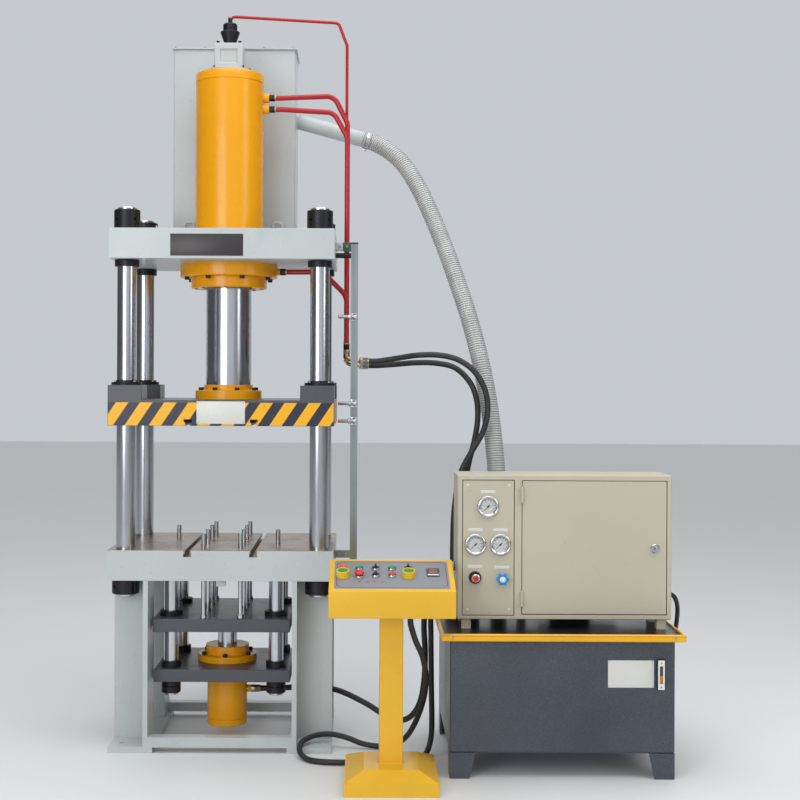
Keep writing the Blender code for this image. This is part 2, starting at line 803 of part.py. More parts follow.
def slide():
    """The moving plate: four corner bosses with guide bushes, T-slots in its underside."""
    made = plate("slide", SLIDE_BOTTOM, SLIDE_TOP)
    boss_top = SLIDE_TOP + SLIDE_BOSS_H
    bosses = []
    for sx in SIGNS:
        for sy in SIGNS:
            xs = sorted((sx * PLATE_W / 2, sx * (PLATE_W / 2 - SLIDE_BOSS_W)))
            ys = sorted((sy * PLATE_D / 2, sy * (PLATE_D / 2 - SLIDE_BOSS_W)))
            low = (xs[0], ys[0], SLIDE_TOP - 2 * PLATE_EDGE)
            bosses.append(box(f"slide_boss_{sx}_{sy}", low, (xs[1], ys[1], boss_top), PLATE_EDGE))
    for name, x, y in column_places():
        bosses.append(rod(f"bush_{name}", BUSH_R, (x, y, boss_top - EMBED), (x, y, boss_top + BUSH_H)))
    fuse(made, *bosses)
    cut(made, *column_bores(SLIDE_BOTTOM, boss_top + BUSH_H))
    cut(made, t_slot("slide_slot_left", -SLOT_X, SLIDE_BOTTOM, 1), t_slot("slide_slot_right", SLOT_X, SLIDE_BOTTOM, 1))
    return finish(made, "slide_paint", smooth=False)


def prefill_valve():
    """The valve on the cylinder's top: base ring, square body, neck, bell and cap, with a duct to the tank."""
    base = CYL_TOP + CLEAR
    body_top = base + VALVE_H
    bell = body_top + 0.018
    profile = [
        (0, bell + VALVE_BELL_H + VALVE_CAP_H), (VALVE_CAP_R - 0.006, bell + VALVE_BELL_H + VALVE_CAP_H),
        (VALVE_CAP_R, bell + VALVE_BELL_H + VALVE_CAP_H - 0.006), (VALVE_CAP_R, bell + VALVE_BELL_H),
        (VALVE_BELL_R, bell + VALVE_BELL_H), (VALVE_NECK_R, bell), (VALVE_NECK_R, base + 0.030),
        (VALVE_BASE_R, base + VALVE_BASE_H), (VALVE_BASE_R, base), (0, base),
    ]
    made = turned("prefill_valve", profile)
    body = box("valve_body", (-VALVE_W / 2, -VALVE_D / 2, base + VALVE_BASE_H - EMBED),
               (VALVE_W / 2, VALVE_D / 2, body_top), 0.006)
    duct_z = base + 0.085
    duct = rod("valve_duct", VALVE_DUCT_R, (0, 0, duct_z), (0, TOP_TANK_FRONT - CLEAR, duct_z), SIDES)
    duct_flange = rod("valve_duct_flange", VALVE_DUCT_R + 0.016, (0, TOP_TANK_FRONT - 0.018, duct_z),
                      (0, TOP_TANK_FRONT - CLEAR, duct_z), SIDES)
    fuse(made, body, duct, duct_flange)
    recess = box("valve_recess", (-0.040, -VALVE_D / 2 - EMBED, base + 0.045), (0.040, -VALVE_D / 2 + 0.010, base + 0.110))
    cut(made, recess)
    return finish(made, "grey_paint")


def pilot_top():
    """Height of the valve cap's top, where the pilot pipe starts."""
    return CYL_TOP + CLEAR + VALVE_H + 0.018 + VALVE_BELL_H + VALVE_CAP_H


def top_tank():
    """The header tank behind the cylinder, with the sloping stub that the big hose is clamped to."""
    low = (-TOP_TANK_W / 2, TOP_TANK_FRONT, CROWN_TOP + CLEAR)
    made = box("top_tank", low, (TOP_TANK_W / 2, TOP_TANK_FRONT + TOP_TANK_D, low[2] + TOP_TANK_H), 0.006)
    wall = Vector((TOP_TANK_W / 2, STUB_Y, STUB_Z))
    along = Vector((math.cos(STUB_SLOPE), 0, -math.sin(STUB_SLOPE)))
    stub = rod("tank_stub", STUB_R, wall - 0.030 * along, wall + STUB_LENGTH * along, SIDES)
    weld = rod("stub_weld", STUB_R + 0.006, wall - 0.030 * along, wall + 0.012 * along, SIDES)
    lid = box("tank_lid", (-TOP_TANK_W / 2 - 0.008, TOP_TANK_FRONT - 0.008, low[2] + TOP_TANK_H - EMBED),
              (TOP_TANK_W / 2 + 0.008, TOP_TANK_FRONT + TOP_TANK_D - EMBED, low[2] + TOP_TANK_H + 0.006))
    fuse(made, stub, weld, lid)
    return finish(made, "grey_paint", smooth=False)


def stub_end():
    along = Vector((math.cos(STUB_SLOPE), 0, -math.sin(STUB_SLOPE)))
    return Vector((TOP_TANK_W / 2, STUB_Y, STUB_Z)) + STUB_LENGTH * along


def pipe_with_fittings(name, corners, radius, paint="red_paint", bend=PIPE_BEND):
    """A bent steel pipe with a hexagon fitting on each end."""
    route = bent_route(corners, bend)
    first = (route[1] - route[0]).normalized()
    last = (route[-2] - route[-1]).normalized()
    inner = [route[0] + 2 * EMBED * first, *route[1:-1], route[-1] + 2 * EMBED * last]
    made = to_mesh(tube(name, inner, radius, 2))
    size = FITTING_R if radius > PILOT_R else FITTING_R * 0.7
    start = hexagon(f"{name}_nut_start", size, route[0], route[0] + first * FITTING_L)
    end = hexagon(f"{name}_nut_end", size, route[-1], route[-1] + last * FITTING_L)
    fuse(made, start, end)
    return finish(made, paint)


def red_pipes():
    """Pilot pipe from the prefill valve, two feed pipes from the cylinder's ports and the return pipe."""
    upper = [(PORT_BOSS_X + CLEAR, 0, PORT_UPPER_Z), (0.250, 0, PORT_UPPER_Z), (0.500, UPPER_PIPE_Y, PORT_UPPER_Z + 0.022),
             (PIPE_X, UPPER_PIPE_Y, PORT_UPPER_Z - 0.110), (PIPE_X, UPPER_PIPE_Y, PIPE_FOOT_Z)]
    lower = [(PORT_BOSS_X + CLEAR, 0, PORT_LOWER_Z), (0.250, 0, PORT_LOWER_Z), (0.500, LOWER_PIPE_Y, PORT_LOWER_Z - 0.010),
             (PIPE_X, LOWER_PIPE_Y, PORT_LOWER_Z - 0.130), (PIPE_X, LOWER_PIPE_Y, PIPE_FOOT_Z)]
    pilot_z = pilot_top() + CLEAR
    pilot = [(0, 0, pilot_z), (0, 0, pilot_z + 0.035), (0.520, PILOT_PIPE_Y, pilot_z + 0.030),
             (PIPE_X - 0.004, PILOT_PIPE_Y, pilot_z - 0.080), (PIPE_X - 0.004, PILOT_PIPE_Y, PIPE_FOOT_Z + 0.050)]
    flange_z = CROWN_BOTTOM - CLEAR - FLANGE_H / 2
    back = [(FLANGE_PORT_X + CLEAR, 0, flange_z), (0.310, 0, flange_z), (0.450, RETURN_PIPE_Y, flange_z),
            (PIPE_X, RETURN_PIPE_Y, flange_z - 0.115), (PIPE_X, RETURN_PIPE_Y, PIPE_FOOT_Z)]
    pipe_with_fittings("feed_pipe_upper", upper, PIPE_R, bend=0.055)
    pipe_with_fittings("feed_pipe_lower", lower, PIPE_R, bend=0.055)
    pipe_with_fittings("pilot_pipe", pilot, PILOT_R, bend=0.026)
    pipe_with_fittings("return_pipe", back, PIPE_R)


def limit_rail():
    """The slotted rail beside the press, on one bracket at the crown and one at the table."""
    half = RAIL_W / 2
    made = box("limit_rail", (RAIL_X - half, RAIL_Y - half, RAIL_BOTTOM), (RAIL_X + half, RAIL_Y + half, RAIL_TOP))
    slots = []
    for name, dx, dy in (("front", 0, -1), ("right", 1, 0), ("back", 0, 1)):
        centre = Vector((RAIL_X + dx * half, RAIL_Y + dy * half, 0))
        size = Vector((RAIL_SLOT / 2, RAIL_SLOT / 2, 0))
        low, high = centre - size, centre + size
        slots.append(box(f"rail_slot_{name}", (low.x, low.y, RAIL_BOTTOM - EMBED), (high.x, high.y, RAIL_TOP + EMBED)))
    cut(made, *slots)
    side = PLATE_W / 2 + CLEAR
    brackets = []
    for name, z in (("crown", CROWN_BOTTOM + 0.080), ("table", TABLE_BOTTOM + 0.096)):
        low = (side, RAIL_Y - half + 0.003, z - BRACKET_H / 2)
        brackets.append(box(f"rail_bracket_{name}", low, (RAIL_X - half + EMBED, RAIL_Y + half - 0.003, z + BRACKET_H / 2)))
    brackets.append(rod("rail_rod", 0.011, (side, RAIL_Y, CROWN_BOTTOM + 0.038), (RAIL_X - half + EMBED, RAIL_Y, CROWN_BOTTOM + 0.038), 12))
    fuse(made, *brackets)
    return finish(made, "aluminium", smooth=False)


def limit_switch(place, z):
    """A threaded proximity switch held by two nuts in a small angle on the rail."""
    name = f"limit_switch_{place}"
    made = rod(name, SWITCH_R, (SWITCH_TIP_X, SWITCH_Y, z), (SWITCH_END_X, SWITCH_Y, z), 12)
    plate_x = RAIL_X - RAIL_W / 2 - SWITCH_PLATE_T
    rail_face = RAIL_Y - RAIL_W / 2 - CLEAR
    ear = box(f"{name}_ear", (plate_x, SWITCH_Y - 0.018, z - 0.018), (plate_x + SWITCH_PLATE_T, rail_face, z + 0.018))
    tab = box(f"{name}_tab", (plate_x + SWITCH_PLATE_T - EMBED, rail_face - SWITCH_PLATE_T, z - 0.018),
              (RAIL_X + RAIL_W / 2 - 0.003, rail_face, z + 0.018))
    nuts = [
        hexagon(f"{name}_nut_{side}", SWITCH_NUT_R, (x, SWITCH_Y, z), (x + SWITCH_NUT_T + EMBED, SWITCH_Y, z))
        for side, x in (("left", plate_x - SWITCH_NUT_T), ("right", plate_x + SWITCH_PLATE_T - EMBED))
    ]
    fuse(made, ear, tab, *nuts)
    return finish(made, "chrome", smooth=False)


def ejector_rod_places():
    for sy in SIGNS:
        for sx in SIGNS:
            yield sx * EJECT_ROD_X, sy * EJECT_ROD_Y


def ejector_frame():
    """The fixed lower plate hung from the table on four guide rods with collars and double nuts."""
    bottom = EJECT_BASE_BOTTOM
    top = bottom + EJECT_BASE_T
    made = box("ejector_frame", (-EJECT_BASE_W / 2, -EJECT_BASE_D / 2, bottom),
               (EJECT_BASE_W / 2, EJECT_BASE_D / 2, top), PLATE_EDGE)
    rods = []
    for index, (x, y) in enumerate(ejector_rod_places()):
        r = EJECT_ROD_R
        profile = [(0, TABLE_BOTTOM - CLEAR), (r, TABLE_BOTTOM - CLEAR), (r, top + EJECT_COLLAR_H),
                   (EJECT_COLLAR_R, top + EJECT_COLLAR_H), (EJECT_COLLAR_R, bottom + EMBED),
                   (EJECT_NUT_R, bottom + EMBED), (EJECT_NUT_R, bottom - EJECT_NUT_H),
                   (r, bottom - EJECT_NUT_H), (r, bottom - EJECT_NUT_H - 0.010), (0, bottom - EJECT_NUT_H - 0.010)]
        rods.append(turned(f"guide_rod_{index}", profile, (x, y, 0), sides=ROD_SIDES))
    fuse(made, *rods)
    cut(made, rod("ejector_bore", EJECT_CYL_R + CLEAR, (0, 0, bottom - EMBED), (0, 0, top + EMBED), EJECT_SIDES))
    return finish(made, "chrome", smooth=False)


def ejector_cylinder():
    """The blind-ended cylinder that stands through the lower plate, with flange, gland, bolts and port."""
    seat = EJECT_BASE_BOTTOM + EJECT_BASE_T + CLEAR
    flange = seat + EJECT_FLANGE_H
    bore = EJECT_RAM_R + RAM_CLEAR
    profile = [(bore, flange + EJECT_GLAND_H), (EJECT_GLAND_R, flange + EJECT_GLAND_H), (EJECT_GLAND_R, flange),
               (EJECT_FLANGE_R, flange), (EJECT_FLANGE_R, seat), (EJECT_CYL_R, seat), (EJECT_CYL_R, EJECT_CYL_BOTTOM),
               (0, EJECT_CYL_BOTTOM)]
    profile = [(0, EJECT_BORE_BOTTOM), (bore, EJECT_BORE_BOTTOM), *profile]
    made = turned("ejector_cylinder", profile, sides=EJECT_SIDES)
    extras = [rod("ejector_port", 0.017, (EJECT_CYL_R - 0.010, 0, EJECT_PORT_Z), (EJECT_CYL_R + 0.020, 0, EJECT_PORT_Z), 12)]
    for index in range(6):
        angle = math.tau * (index + 0.5) / 6
        x, y = EJECT_BOLT_RING * math.cos(angle), EJECT_BOLT_RING * math.sin(angle)
        extras.append(hexagon(f"ejector_bolt_{index}", GLAND_BOLT_R, (x, y, flange - EMBED), (x, y, flange + GLAND_BOLT_H)))
    fuse(made, *extras)
    return finish(made, "orange_paint")


def ejector_ram():
    top = EJECT_PLATE_BOTTOM - CLEAR
    profile = [(0, top), (EJECT_RAM_R, top), (EJECT_RAM_R, EJECT_RAM_BOTTOM), (0, EJECT_RAM_BOTTOM)]
    return finish(turned("ejector_ram", profile, sides=EJECT_SIDES), "chrome")


def ejector_plate():
    """The moving plate with its four guide bushes and ten ejector pins."""
    bottom, top = EJECT_PLATE_BOTTOM, EJECT_PLATE_BOTTOM + EJECT_PLATE_T
    made = box("ejector_plate", (-EJECT_BASE_W / 2, -EJECT_PLATE_D / 2, bottom),
               (EJECT_BASE_W / 2, EJECT_PLATE_D / 2, top), PLATE_EDGE)
    added, bores = [], []
    for index, (x, y) in enumerate(ejector_rod_places()):
        added.append(rod(f"plate_bush_{index}", EJECT_BUSH_R, (x, y, top - EMBED), (x, y, top + EJECT_BUSH_H), ROD_SIDES))
        bores.append(rod(f"plate_bore_{index}", EJECT_ROD_R + COLUMN_BORE_CLEAR, (x, y, bottom - EMBED),
                         (x, y, top + EJECT_BUSH_H + EMBED), ROD_SIDES))
    for name, x, y in pin_places():
        added.append(rod(name, PIN_R, (x, y, top - EMBED), (x, y, PIN_TOP), PIN_SIDES))
    fuse(made, *added)
    cut(made, *bores)
    return finish(made, "orange_paint", smooth=False)


def oil_tank():
    """The oil tank on four tapered angle legs, with a level gauge on its front and a cable gland at its right."""
    right, back = TANK_X0 + TANK_W, TANK_FRONT + TANK_D
    made = box("oil_tank", (TANK_X0, TANK_FRONT, TANK_BOTTOM), (right, back, TANK_BOTTOM + TANK_H), 0.006)
    legs, hollows = [], []
    for sx, corner_x in ((1, TANK_X0), (-1, right)):
        for sy, corner_y in ((1, TANK_FRONT), (-1, back)):
            legs.append(tank_leg(f"leg_{sx}_{sy}", corner_x, corner_y, sx, sy, LEG_TOP, LEG_FOOT, 0))
            hollows.append(tank_leg(f"leg_hollow_{sx}_{sy}", corner_x, corner_y, sx, sy, 0.3, 0.3, LEG_WALL))
    for leg, hollow in zip(legs, hollows):
        cut(leg, hollow)
    strip = box("level_gauge", (GAUGE_STRIP_X, TANK_FRONT - GAUGE_STRIP_T, GAUGE_STRIP_Z0),
                (GAUGE_STRIP_X + GAUGE_STRIP_W, TANK_FRONT + EMBED, GAUGE_STRIP_Z0 + GAUGE_STRIP_H), 0.003)
    gland = rod("tank_gland", 0.014, (right - EMBED, -0.300, 0.420), (right + 0.014, -0.300, 0.420), 12)
    fuse(made, *legs, strip, gland)
    return finish(made, "tank_hammer", smooth=False)


def tank_leg(name, corner_x, corner_y, sx, sy, top, foot, inset):
    """A tapered block under one corner of the tank, or with an inset the hollow that leaves its two walls."""
    height = TANK_BOTTOM
    low = -EMBED if inset else 0
    high = height - EMBED if inset else height + EMBED
    shape = bmesh.new()
    corners = []
    for z, reach in ((low, foot), (high, top)):
        x0, y0 = corner_x + sx * inset, corner_y + sy * inset
        corners.append([shape.verts.new((x, y, z)) for x, y in
                        ((x0, y0), (corner_x + sx * reach, y0), (corner_x + sx * reach, corner_y + sy * reach),
                         (x0, corner_y + sy * reach))])
    lower, upper = corners
    shape.faces.new(lower)
    shape.faces.new(upper)
    for i in range(4):
        j = (i + 1) % 4
        shape.faces.new((lower[i], lower[j], upper[j], upper[i]))
    return from_bmesh(name, shape, (0, 0, 0))


def tray():
    """The drip tray on the tank: a yellow rim round a sunk floor, with the spigot for the big hose."""
    left, right = TANK_X0 - RIM_OUT, TANK_X0 + TANK_W + RIM_OUT
    front, back = TANK_FRONT - RIM_OUT, TANK_FRONT + TANK_D + RIM_OUT
    made = box("drip_tray", (left, front, RIM_BOTTOM), (right, back, RIM_BOTTOM + RIM_H), 0.004)
    well = box("tray_well", (left + RIM_WALL, front + RIM_WALL, TRAY_TOP), (right - RIM_WALL, back - RIM_WALL, TRAY_TOP + 0.05))
    cut(made, well)
    profile = [(0, SPIGOT_TOP), (SPIGOT_R, SPIGOT_TOP), (SPIGOT_R, TRAY_TOP + 0.012), (SPIGOT_R + 0.024, TRAY_TOP + 0.012),
               (SPIGOT_R + 0.024, TRAY_TOP - EMBED), (0, TRAY_TOP - EMBED)]
    fuse(made, turned("return_spigot", profile, (SPIGOT_X, SPIGOT_Y, 0), sides=SIDES))
    return finish(made, "console_yellow", smooth=False)


def cabinet():
    """The sheet-steel cabinet: one bay behind the gauge panel, one behind the door, on four short posts."""
    right, top, back = CAB_X0 + CAB_W, CAB_BOTTOM + CAB_H, CAB_FRONT + CAB_D
    made = box("cabinet", (CAB_X0, CAB_FRONT, CAB_BOTTOM), (right, back, top), 0.003)
    inner_low, inner_high = CAB_BOTTOM + CAB_WALL, top - CAB_WALL
    skin = CAB_FRONT + CAB_WALL
    gauge_bay = box("gauge_bay", (CAB_X0 + CAB_WALL, skin, inner_low), (CAB_DIVIDER_X - CAB_WALL, back - CAB_WALL, inner_high))
    door_bay = box("door_bay", (CAB_DIVIDER_X, skin, inner_low), (right - CAB_WALL, back - CAB_WALL, inner_high))
    gauge_hole = box("gauge_hole", (PANEL_X0, CAB_FRONT - EMBED, PANEL_Z0), (PANEL_X0 + PANEL_W, skin + EMBED, PANEL_Z0 + PANEL_H))
    door_hole = box("door_hole", (DOOR_X0 - DOOR_GAP, CAB_FRONT - EMBED, DOOR_Z0 - DOOR_GAP),
                    (DOOR_X0 + DOOR_W + DOOR_GAP, skin + EMBED, DOOR_Z0 + DOOR_H + DOOR_GAP))
    posts = []
    for x in (CAB_X0 + 0.02, right - 0.02 - CAB_POST):
        for y in (CAB_FRONT + 0.015, back - 0.015 - CAB_POST):
            posts.append(box(f"cabinet_post_{x:.3f}_{y:.3f}", (x, y, TRAY_TOP + CLEAR), (x + CAB_POST, y + CAB_POST, CAB_BOTTOM + EMBED)))
    fuse(made, *posts)
    cut(made, gauge_bay, door_bay, gauge_hole, door_hole)
    hinge_x, hinge_y = hinge_axis()
    leaves = []
    for index, z in enumerate(HINGE_Z):
        for end, low in (("low", z - KNUCKLE_L / 2 - CLEAR - KNUCKLE_END), ("high", z + KNUCKLE_L / 2 + CLEAR)):
            leaves.append(rod(f"cabinet_knuckle_{index}_{end}", KNUCKLE_R, (hinge_x, hinge_y, low), (hinge_x, hinge_y, low + KNUCKLE_END), 12))
            leaves.append(box(f"cabinet_leaf_{index}_{end}", (hinge_x - LEAF_W, CAB_FRONT - LEAF_T, low),
                              (hinge_x - DOOR_GAP, CAB_FRONT + EMBED, low + KNUCKLE_END)))
    glands = [
        rod("power_gland", 0.014, (right - EMBED, CABINET_CABLE_Y, 0.750), (right + 0.014, CABINET_CABLE_Y, 0.750), ROD_SIDES),
        rod("console_gland", 0.020, (CAB_X0 - GLAND_FIT_L, CABINET_CABLE_Y, 0.870), (CAB_X0 + EMBED, CABINET_CABLE_Y, 0.870), ROD_SIDES),
    ]
    fuse(made, *leaves, *glands)
    return finish(made, "cabinet_paint", smooth=False)


def hinge_axis():
    return DOOR_X0 - DOOR_GAP / 2, CAB_FRONT - KNUCKLE_R - 0.0005


def cabinet_door():
    """The pan-shaped door, hung on two butt hinges at its left edge."""
    hinge_x, hinge_y = hinge_axis()
    hinge = empty("door_hinge", (hinge_x, hinge_y, 0), PRESS)
    low = (DOOR_X0 - hinge_x, CAB_FRONT - hinge_y, DOOR_Z0)
    high = (low[0] + DOOR_W, low[1] + DOOR_T, DOOR_Z0 + DOOR_H)
    made = box("cabinet_door", low, high, 0.002, parent=hinge)
    pan = box("door_pan", (low[0] + 0.012, low[1] + 0.003, low[2] + 0.012), (high[0] - 0.012, high[1] + EMBED, high[2] - 0.012), parent=hinge)
    cut(made, pan)
    added = []
    for index, z in enumerate(HINGE_Z):
        added.append(rod(f"door_knuckle_{index}", KNUCKLE_R, (0, 0, z - KNUCKLE_L / 2), (0, 0, z + KNUCKLE_L / 2), 12, parent=hinge))
        added.append(box(f"door_leaf_{index}", (0, low[1] - 3 * LEAF_T, z - KNUCKLE_L / 2), (KNUCKLE_R * 0.6, low[1] - EMBED, z + KNUCKLE_L / 2), parent=hinge))
        added.append(box(f"door_strap_{index}", (0.0008, low[1] - LEAF_T, z - KNUCKLE_L / 2), (LEAF_W, low[1] + EMBED, z + KNUCKLE_L / 2), parent=hinge))
    fuse(made, *added)
    lock = Vector((LOCK_X - hinge_x, 0, LOCK_Z))
    hole = rod("lock_hole", LOCK_SHAFT_R + CLEAR, lock + Vector((0, low[1] - 0.01, 0)), lock + Vector((0, high[1], 0)), 12, parent=hinge)
    cut(made, hole)
    return finish(made, "cabinet_paint", smooth=False)


def door_lock():
    """The round lock face with its cylinder through the door and the key standing in it."""
    face = CAB_FRONT - CLEAR
    profile = [(0, LOCK_H), (LOCK_R - 0.003, LOCK_H), (LOCK_R, LOCK_H - 0.003), (LOCK_R, 0),
               (LOCK_SHAFT_R, 0), (LOCK_SHAFT_R, -DOOR_T), (0, -DOOR_T)]
    forward = (math.radians(90), 0, 0)
    made = turned("door_lock", profile, (LOCK_X, face, LOCK_Z), forward, sides=ROD_SIDES)
    front = face - LOCK_H
    blade = box("key_blade", (LOCK_X - KEY_T / 2, front - 0.010, LOCK_Z - 0.004), (LOCK_X + KEY_T / 2, front + EMBED, LOCK_Z + 0.004))
    bow = rod("key_bow", KEY_W / 2, (LOCK_X - KEY_T / 2, front - 0.016, LOCK_Z), (LOCK_X + KEY_T / 2, front - 0.016, LOCK_Z), 12)
    fuse(made, blade, bow)
    return finish(made, "chrome")


def gauge_panel():
    """The gauge panel with its three dials, each a rim round a sunk face with a spindle."""
    front = CAB_FRONT + EMBED
    made = box("gauge_panel", (PANEL_X0 + CLEAR, front, PANEL_Z0 + CLEAR),
               (PANEL_X0 + PANEL_W - CLEAR, front + PANEL_T, PANEL_Z0 + PANEL_H - CLEAR))
    forward = (math.radians(90), 0, 0)
    dials = []
    for place, (x, z) in DIALS.items():
        inner = DIAL_R - DIAL_RIM
        sunk = DIAL_H - DIAL_RECESS
        profile = [(0, sunk + 0.003), (SPINDLE_R, sunk + 0.003), (SPINDLE_R, sunk), (inner, sunk), (inner, DIAL_H),
                   (DIAL_R - 0.002, DIAL_H), (DIAL_R, DIAL_H - 0.002), (DIAL_R, -EMBED), (0, -EMBED)]
        dials.append(turned(f"dial_{place}", profile, (x, front, z), forward, sides=SIDES))
    fuse(made, *dials)
    holes = [
        rod(f"knob_hole_{x:.3f}", KNOB_STEM_R + CLEAR, (x, front - EMBED, z), (x, front + PANEL_T + EMBED, z), 12)
        for x, z in ((THROTTLE_X, THROTTLE_Z), (STAR_X, STAR_Z))
    ]
    cut(made, *holes)
    return finish(made, "cabinet_paint", smooth=False)


def dial_needle(place, x, z):
    """A pointer on its dial's spindle, at rest on the zero mark low on the left."""
    face = CAB_FRONT + EMBED - (DIAL_H - DIAL_RECESS) - 0.003 - CLEAR
    made = rod(f"needle_{place}", NEEDLE_HUB_R, (x, face, z), (x, face - 0.002, z), 10)
    outline = [(-NEEDLE_W / 2, -0.010), (NEEDLE_W / 2, -0.010), (0.0004, NEEDLE_LENGTH), (-0.0004, NEEDLE_LENGTH)]
    blade = prism(f"needle_blade_{place}", outline, 0.001, (x, face - 0.0012, z), (math.radians(90), math.radians(-135), 0))
    fuse(made, blade)
    return finish(made, "black_plastic", smooth=False)


def panel_knobs():
    """The knurled throttle knob and the six-lobed star knob under the dials."""
    front = CAB_FRONT + EMBED
    forward = (math.radians(90), 0, 0)
    behind = PANEL_T + 0.010
    profile = [(0, THROTTLE_L), (THROTTLE_R - 0.004, THROTTLE_L), (THROTTLE_R, THROTTLE_L - 0.004),
               (THROTTLE_R, 0.016), (0.011, 0.012), (0.011, CLEAR), (KNOB_STEM_R, CLEAR),
               (KNOB_STEM_R, -behind), (0, -behind)]
    finish(turned("throttle_knob", profile, (THROTTLE_X, front, THROTTLE_Z), forward, sides=SIDES), "chrome")
    stem_profile = [(0, KNOB_STEM_L + 0.002), (0.012, KNOB_STEM_L + 0.002), (0.012, CLEAR), (KNOB_STEM_R, CLEAR),
                    (KNOB_STEM_R, -behind), (0, -behind)]
    made = turned("star_knob", stem_profile, (STAR_X, front, STAR_Z), forward, sides=ROD_SIDES)
    outline = []
    for step in range(STAR_LOBES * 4):
        angle = math.tau * step / (STAR_LOBES * 4)
        radius = STAR_R * (0.84 + 0.16 * math.cos(STAR_LOBES * angle))
        outline.append((radius * math.cos(angle), radius * math.sin(angle)))
    star = prism("star_wheel", outline, STAR_T, (STAR_X, front - KNOB_STEM_L - STAR_T / 2, STAR_Z), forward)
    fuse(made, star)
    return finish(made, "blue_plastic")


def motor():
    """The foot-mounted pump motor, with cooling fins, fan cover and terminal box."""
    end = MOTOR_X0 + MOTOR_L
    made = rod("motor", MOTOR_R - 0.012, (MOTOR_X0, MOTOR_Y, MOTOR_Z), (end, MOTOR_Y, MOTOR_Z), SIDES)
    added = [rod("fan_cover", FAN_R, (end - 0.080, MOTOR_Y, MOTOR_Z), (end + 0.030, MOTOR_Y, MOTOR_Z), SIDES),
             rod("end_shield", MOTOR_R - 0.004, (MOTOR_X0 - 0.004, MOTOR_Y, MOTOR_Z), (MOTOR_X0 + 0.030, MOTOR_Y, MOTOR_Z), SIDES)]
    for index in range(MOTOR_FINS):
        angle = math.tau * (index + 0.5) / MOTOR_FINS
        fin = box(f"motor_fin_{index}", (-0.105, -0.003, 0), (0.105, 0.003, MOTOR_R))
        fin.location = (MOTOR_X0 + 0.135, MOTOR_Y, MOTOR_Z)
        fin.data.transform(Matrix.Translation((0, 0, MOTOR_R / 2)))
        fin.rotation_euler = (angle, 0, 0)
        added.append(fin)
    added.append(box("terminal_box", (MOTOR_X0 + 0.070, MOTOR_Y - 0.055, MOTOR_Z + 0.090), (MOTOR_X0 + 0.190, MOTOR_Y + 0.055, MOTOR_Z + 0.165), 0.005))
    foot_z = TRAY_TOP + CLEAR
    for sy in SIGNS:
        added.append(box(f"motor_foot_{sy}", (MOTOR_X0 + 0.040, MOTOR_Y + sy * 0.095 - 0.020, foot_z),
                         (MOTOR_X0 + 0.240, MOTOR_Y + sy * 0.095 + 0.020, foot_z + 0.014)))
        added.append(box(f"motor_web_{sy}", (MOTOR_X0 + 0.060, MOTOR_Y + sy * 0.088 - 0.007, foot_z + 0.010),
                         (MOTOR_X0 + 0.220, MOTOR_Y + sy * 0.088 + 0.007, MOTOR_Z - 0.030)))
    fuse(made, *added)
    return finish(made, "slide_paint", smooth=False)


def pump():
    """The oil pump, on a bell housing that bolts to the motor, with its suction and pressure ports."""
    face = MOTOR_X0 - 0.004 - CLEAR
    length = face - PUMP_X0
    profile = [(0, length), (BELL_R, length), (BELL_R, length - 0.020), (0.050, length - 0.060), (PUMP_R, length - 0.060),
               (PUMP_R, 0.008), (PUMP_R - 0.008, 0), (0, 0)]
    made = turned("pump", profile, (PUMP_X0, MOTOR_Y, MOTOR_Z), (0, math.radians(90), 0), sides=SIDES)
    ports = [rod("suction_port", 0.022, (PUMP_X0 + 0.020, MOTOR_Y, TRAY_TOP + CLEAR), (PUMP_X0 + 0.020, MOTOR_Y, MOTOR_Z), 12),
             box("pressure_port", (PUMP_X0 + 0.004, MOTOR_Y - 0.020, MOTOR_Z), (PUMP_X0 + 0.040, MOTOR_Y + 0.020, MOTOR_Z + 0.080), 0.003)]
    fuse(made, *ports)
    return finish(made, "black_oxide", smooth=False)


def valve_block():
    """The manifold block with two solenoid valves lying on it and the hose ports at its top and left."""
    right, back, top = BLOCK_X0 + BLOCK_W, BLOCK_FRONT + BLOCK_D, TRAY_TOP + CLEAR + BLOCK_H
    made = box("valve_block", (BLOCK_X0, BLOCK_FRONT, TRAY_TOP + CLEAR), (right, back, top), 0.003)
    added = []
    for index, y in enumerate((BLOCK_FRONT + 0.055, BLOCK_FRONT + 0.155)):
        z = top + 0.024
        added.append(box(f"valve_body_{index}", (BLOCK_X0 + 0.090, y - 0.022, top - EMBED), (right - 0.010, y + 0.022, top + 0.048), 0.002))
        added.append(rod(f"solenoid_{index}", SOLENOID_R * 0.9, (right - 0.012, y, z), (right + 0.042, y, z), 12))
    for index, (x, y) in enumerate(HOSE_PORTS):
        added.append(rod(f"hose_port_{index}", PRESSURE_R + 0.004, (x, y, top - EMBED), (x, y, PORT_TOP), 12))
    added.append(rod("side_port", PRESSURE_R + 0.004, (BLOCK_X0 + EMBED, SIDE_PORT_Y, SIDE_PORT_Z), (BLOCK_X0 - 0.020, SIDE_PORT_Y, SIDE_PORT_Z), 12))
    fuse(made, *added)
    return finish(made, "red_paint", smooth=False)


HOSE_PORTS = ((BLOCK_X0 + 0.030, BLOCK_FRONT + 0.060), (BLOCK_X0 + 0.065, BLOCK_FRONT + 0.125))
PORT_TOP = 0.800
SIDE_PORT_Y = BLOCK_FRONT + 0.110
SIDE_PORT_Z = TRAY_TOP + 0.070


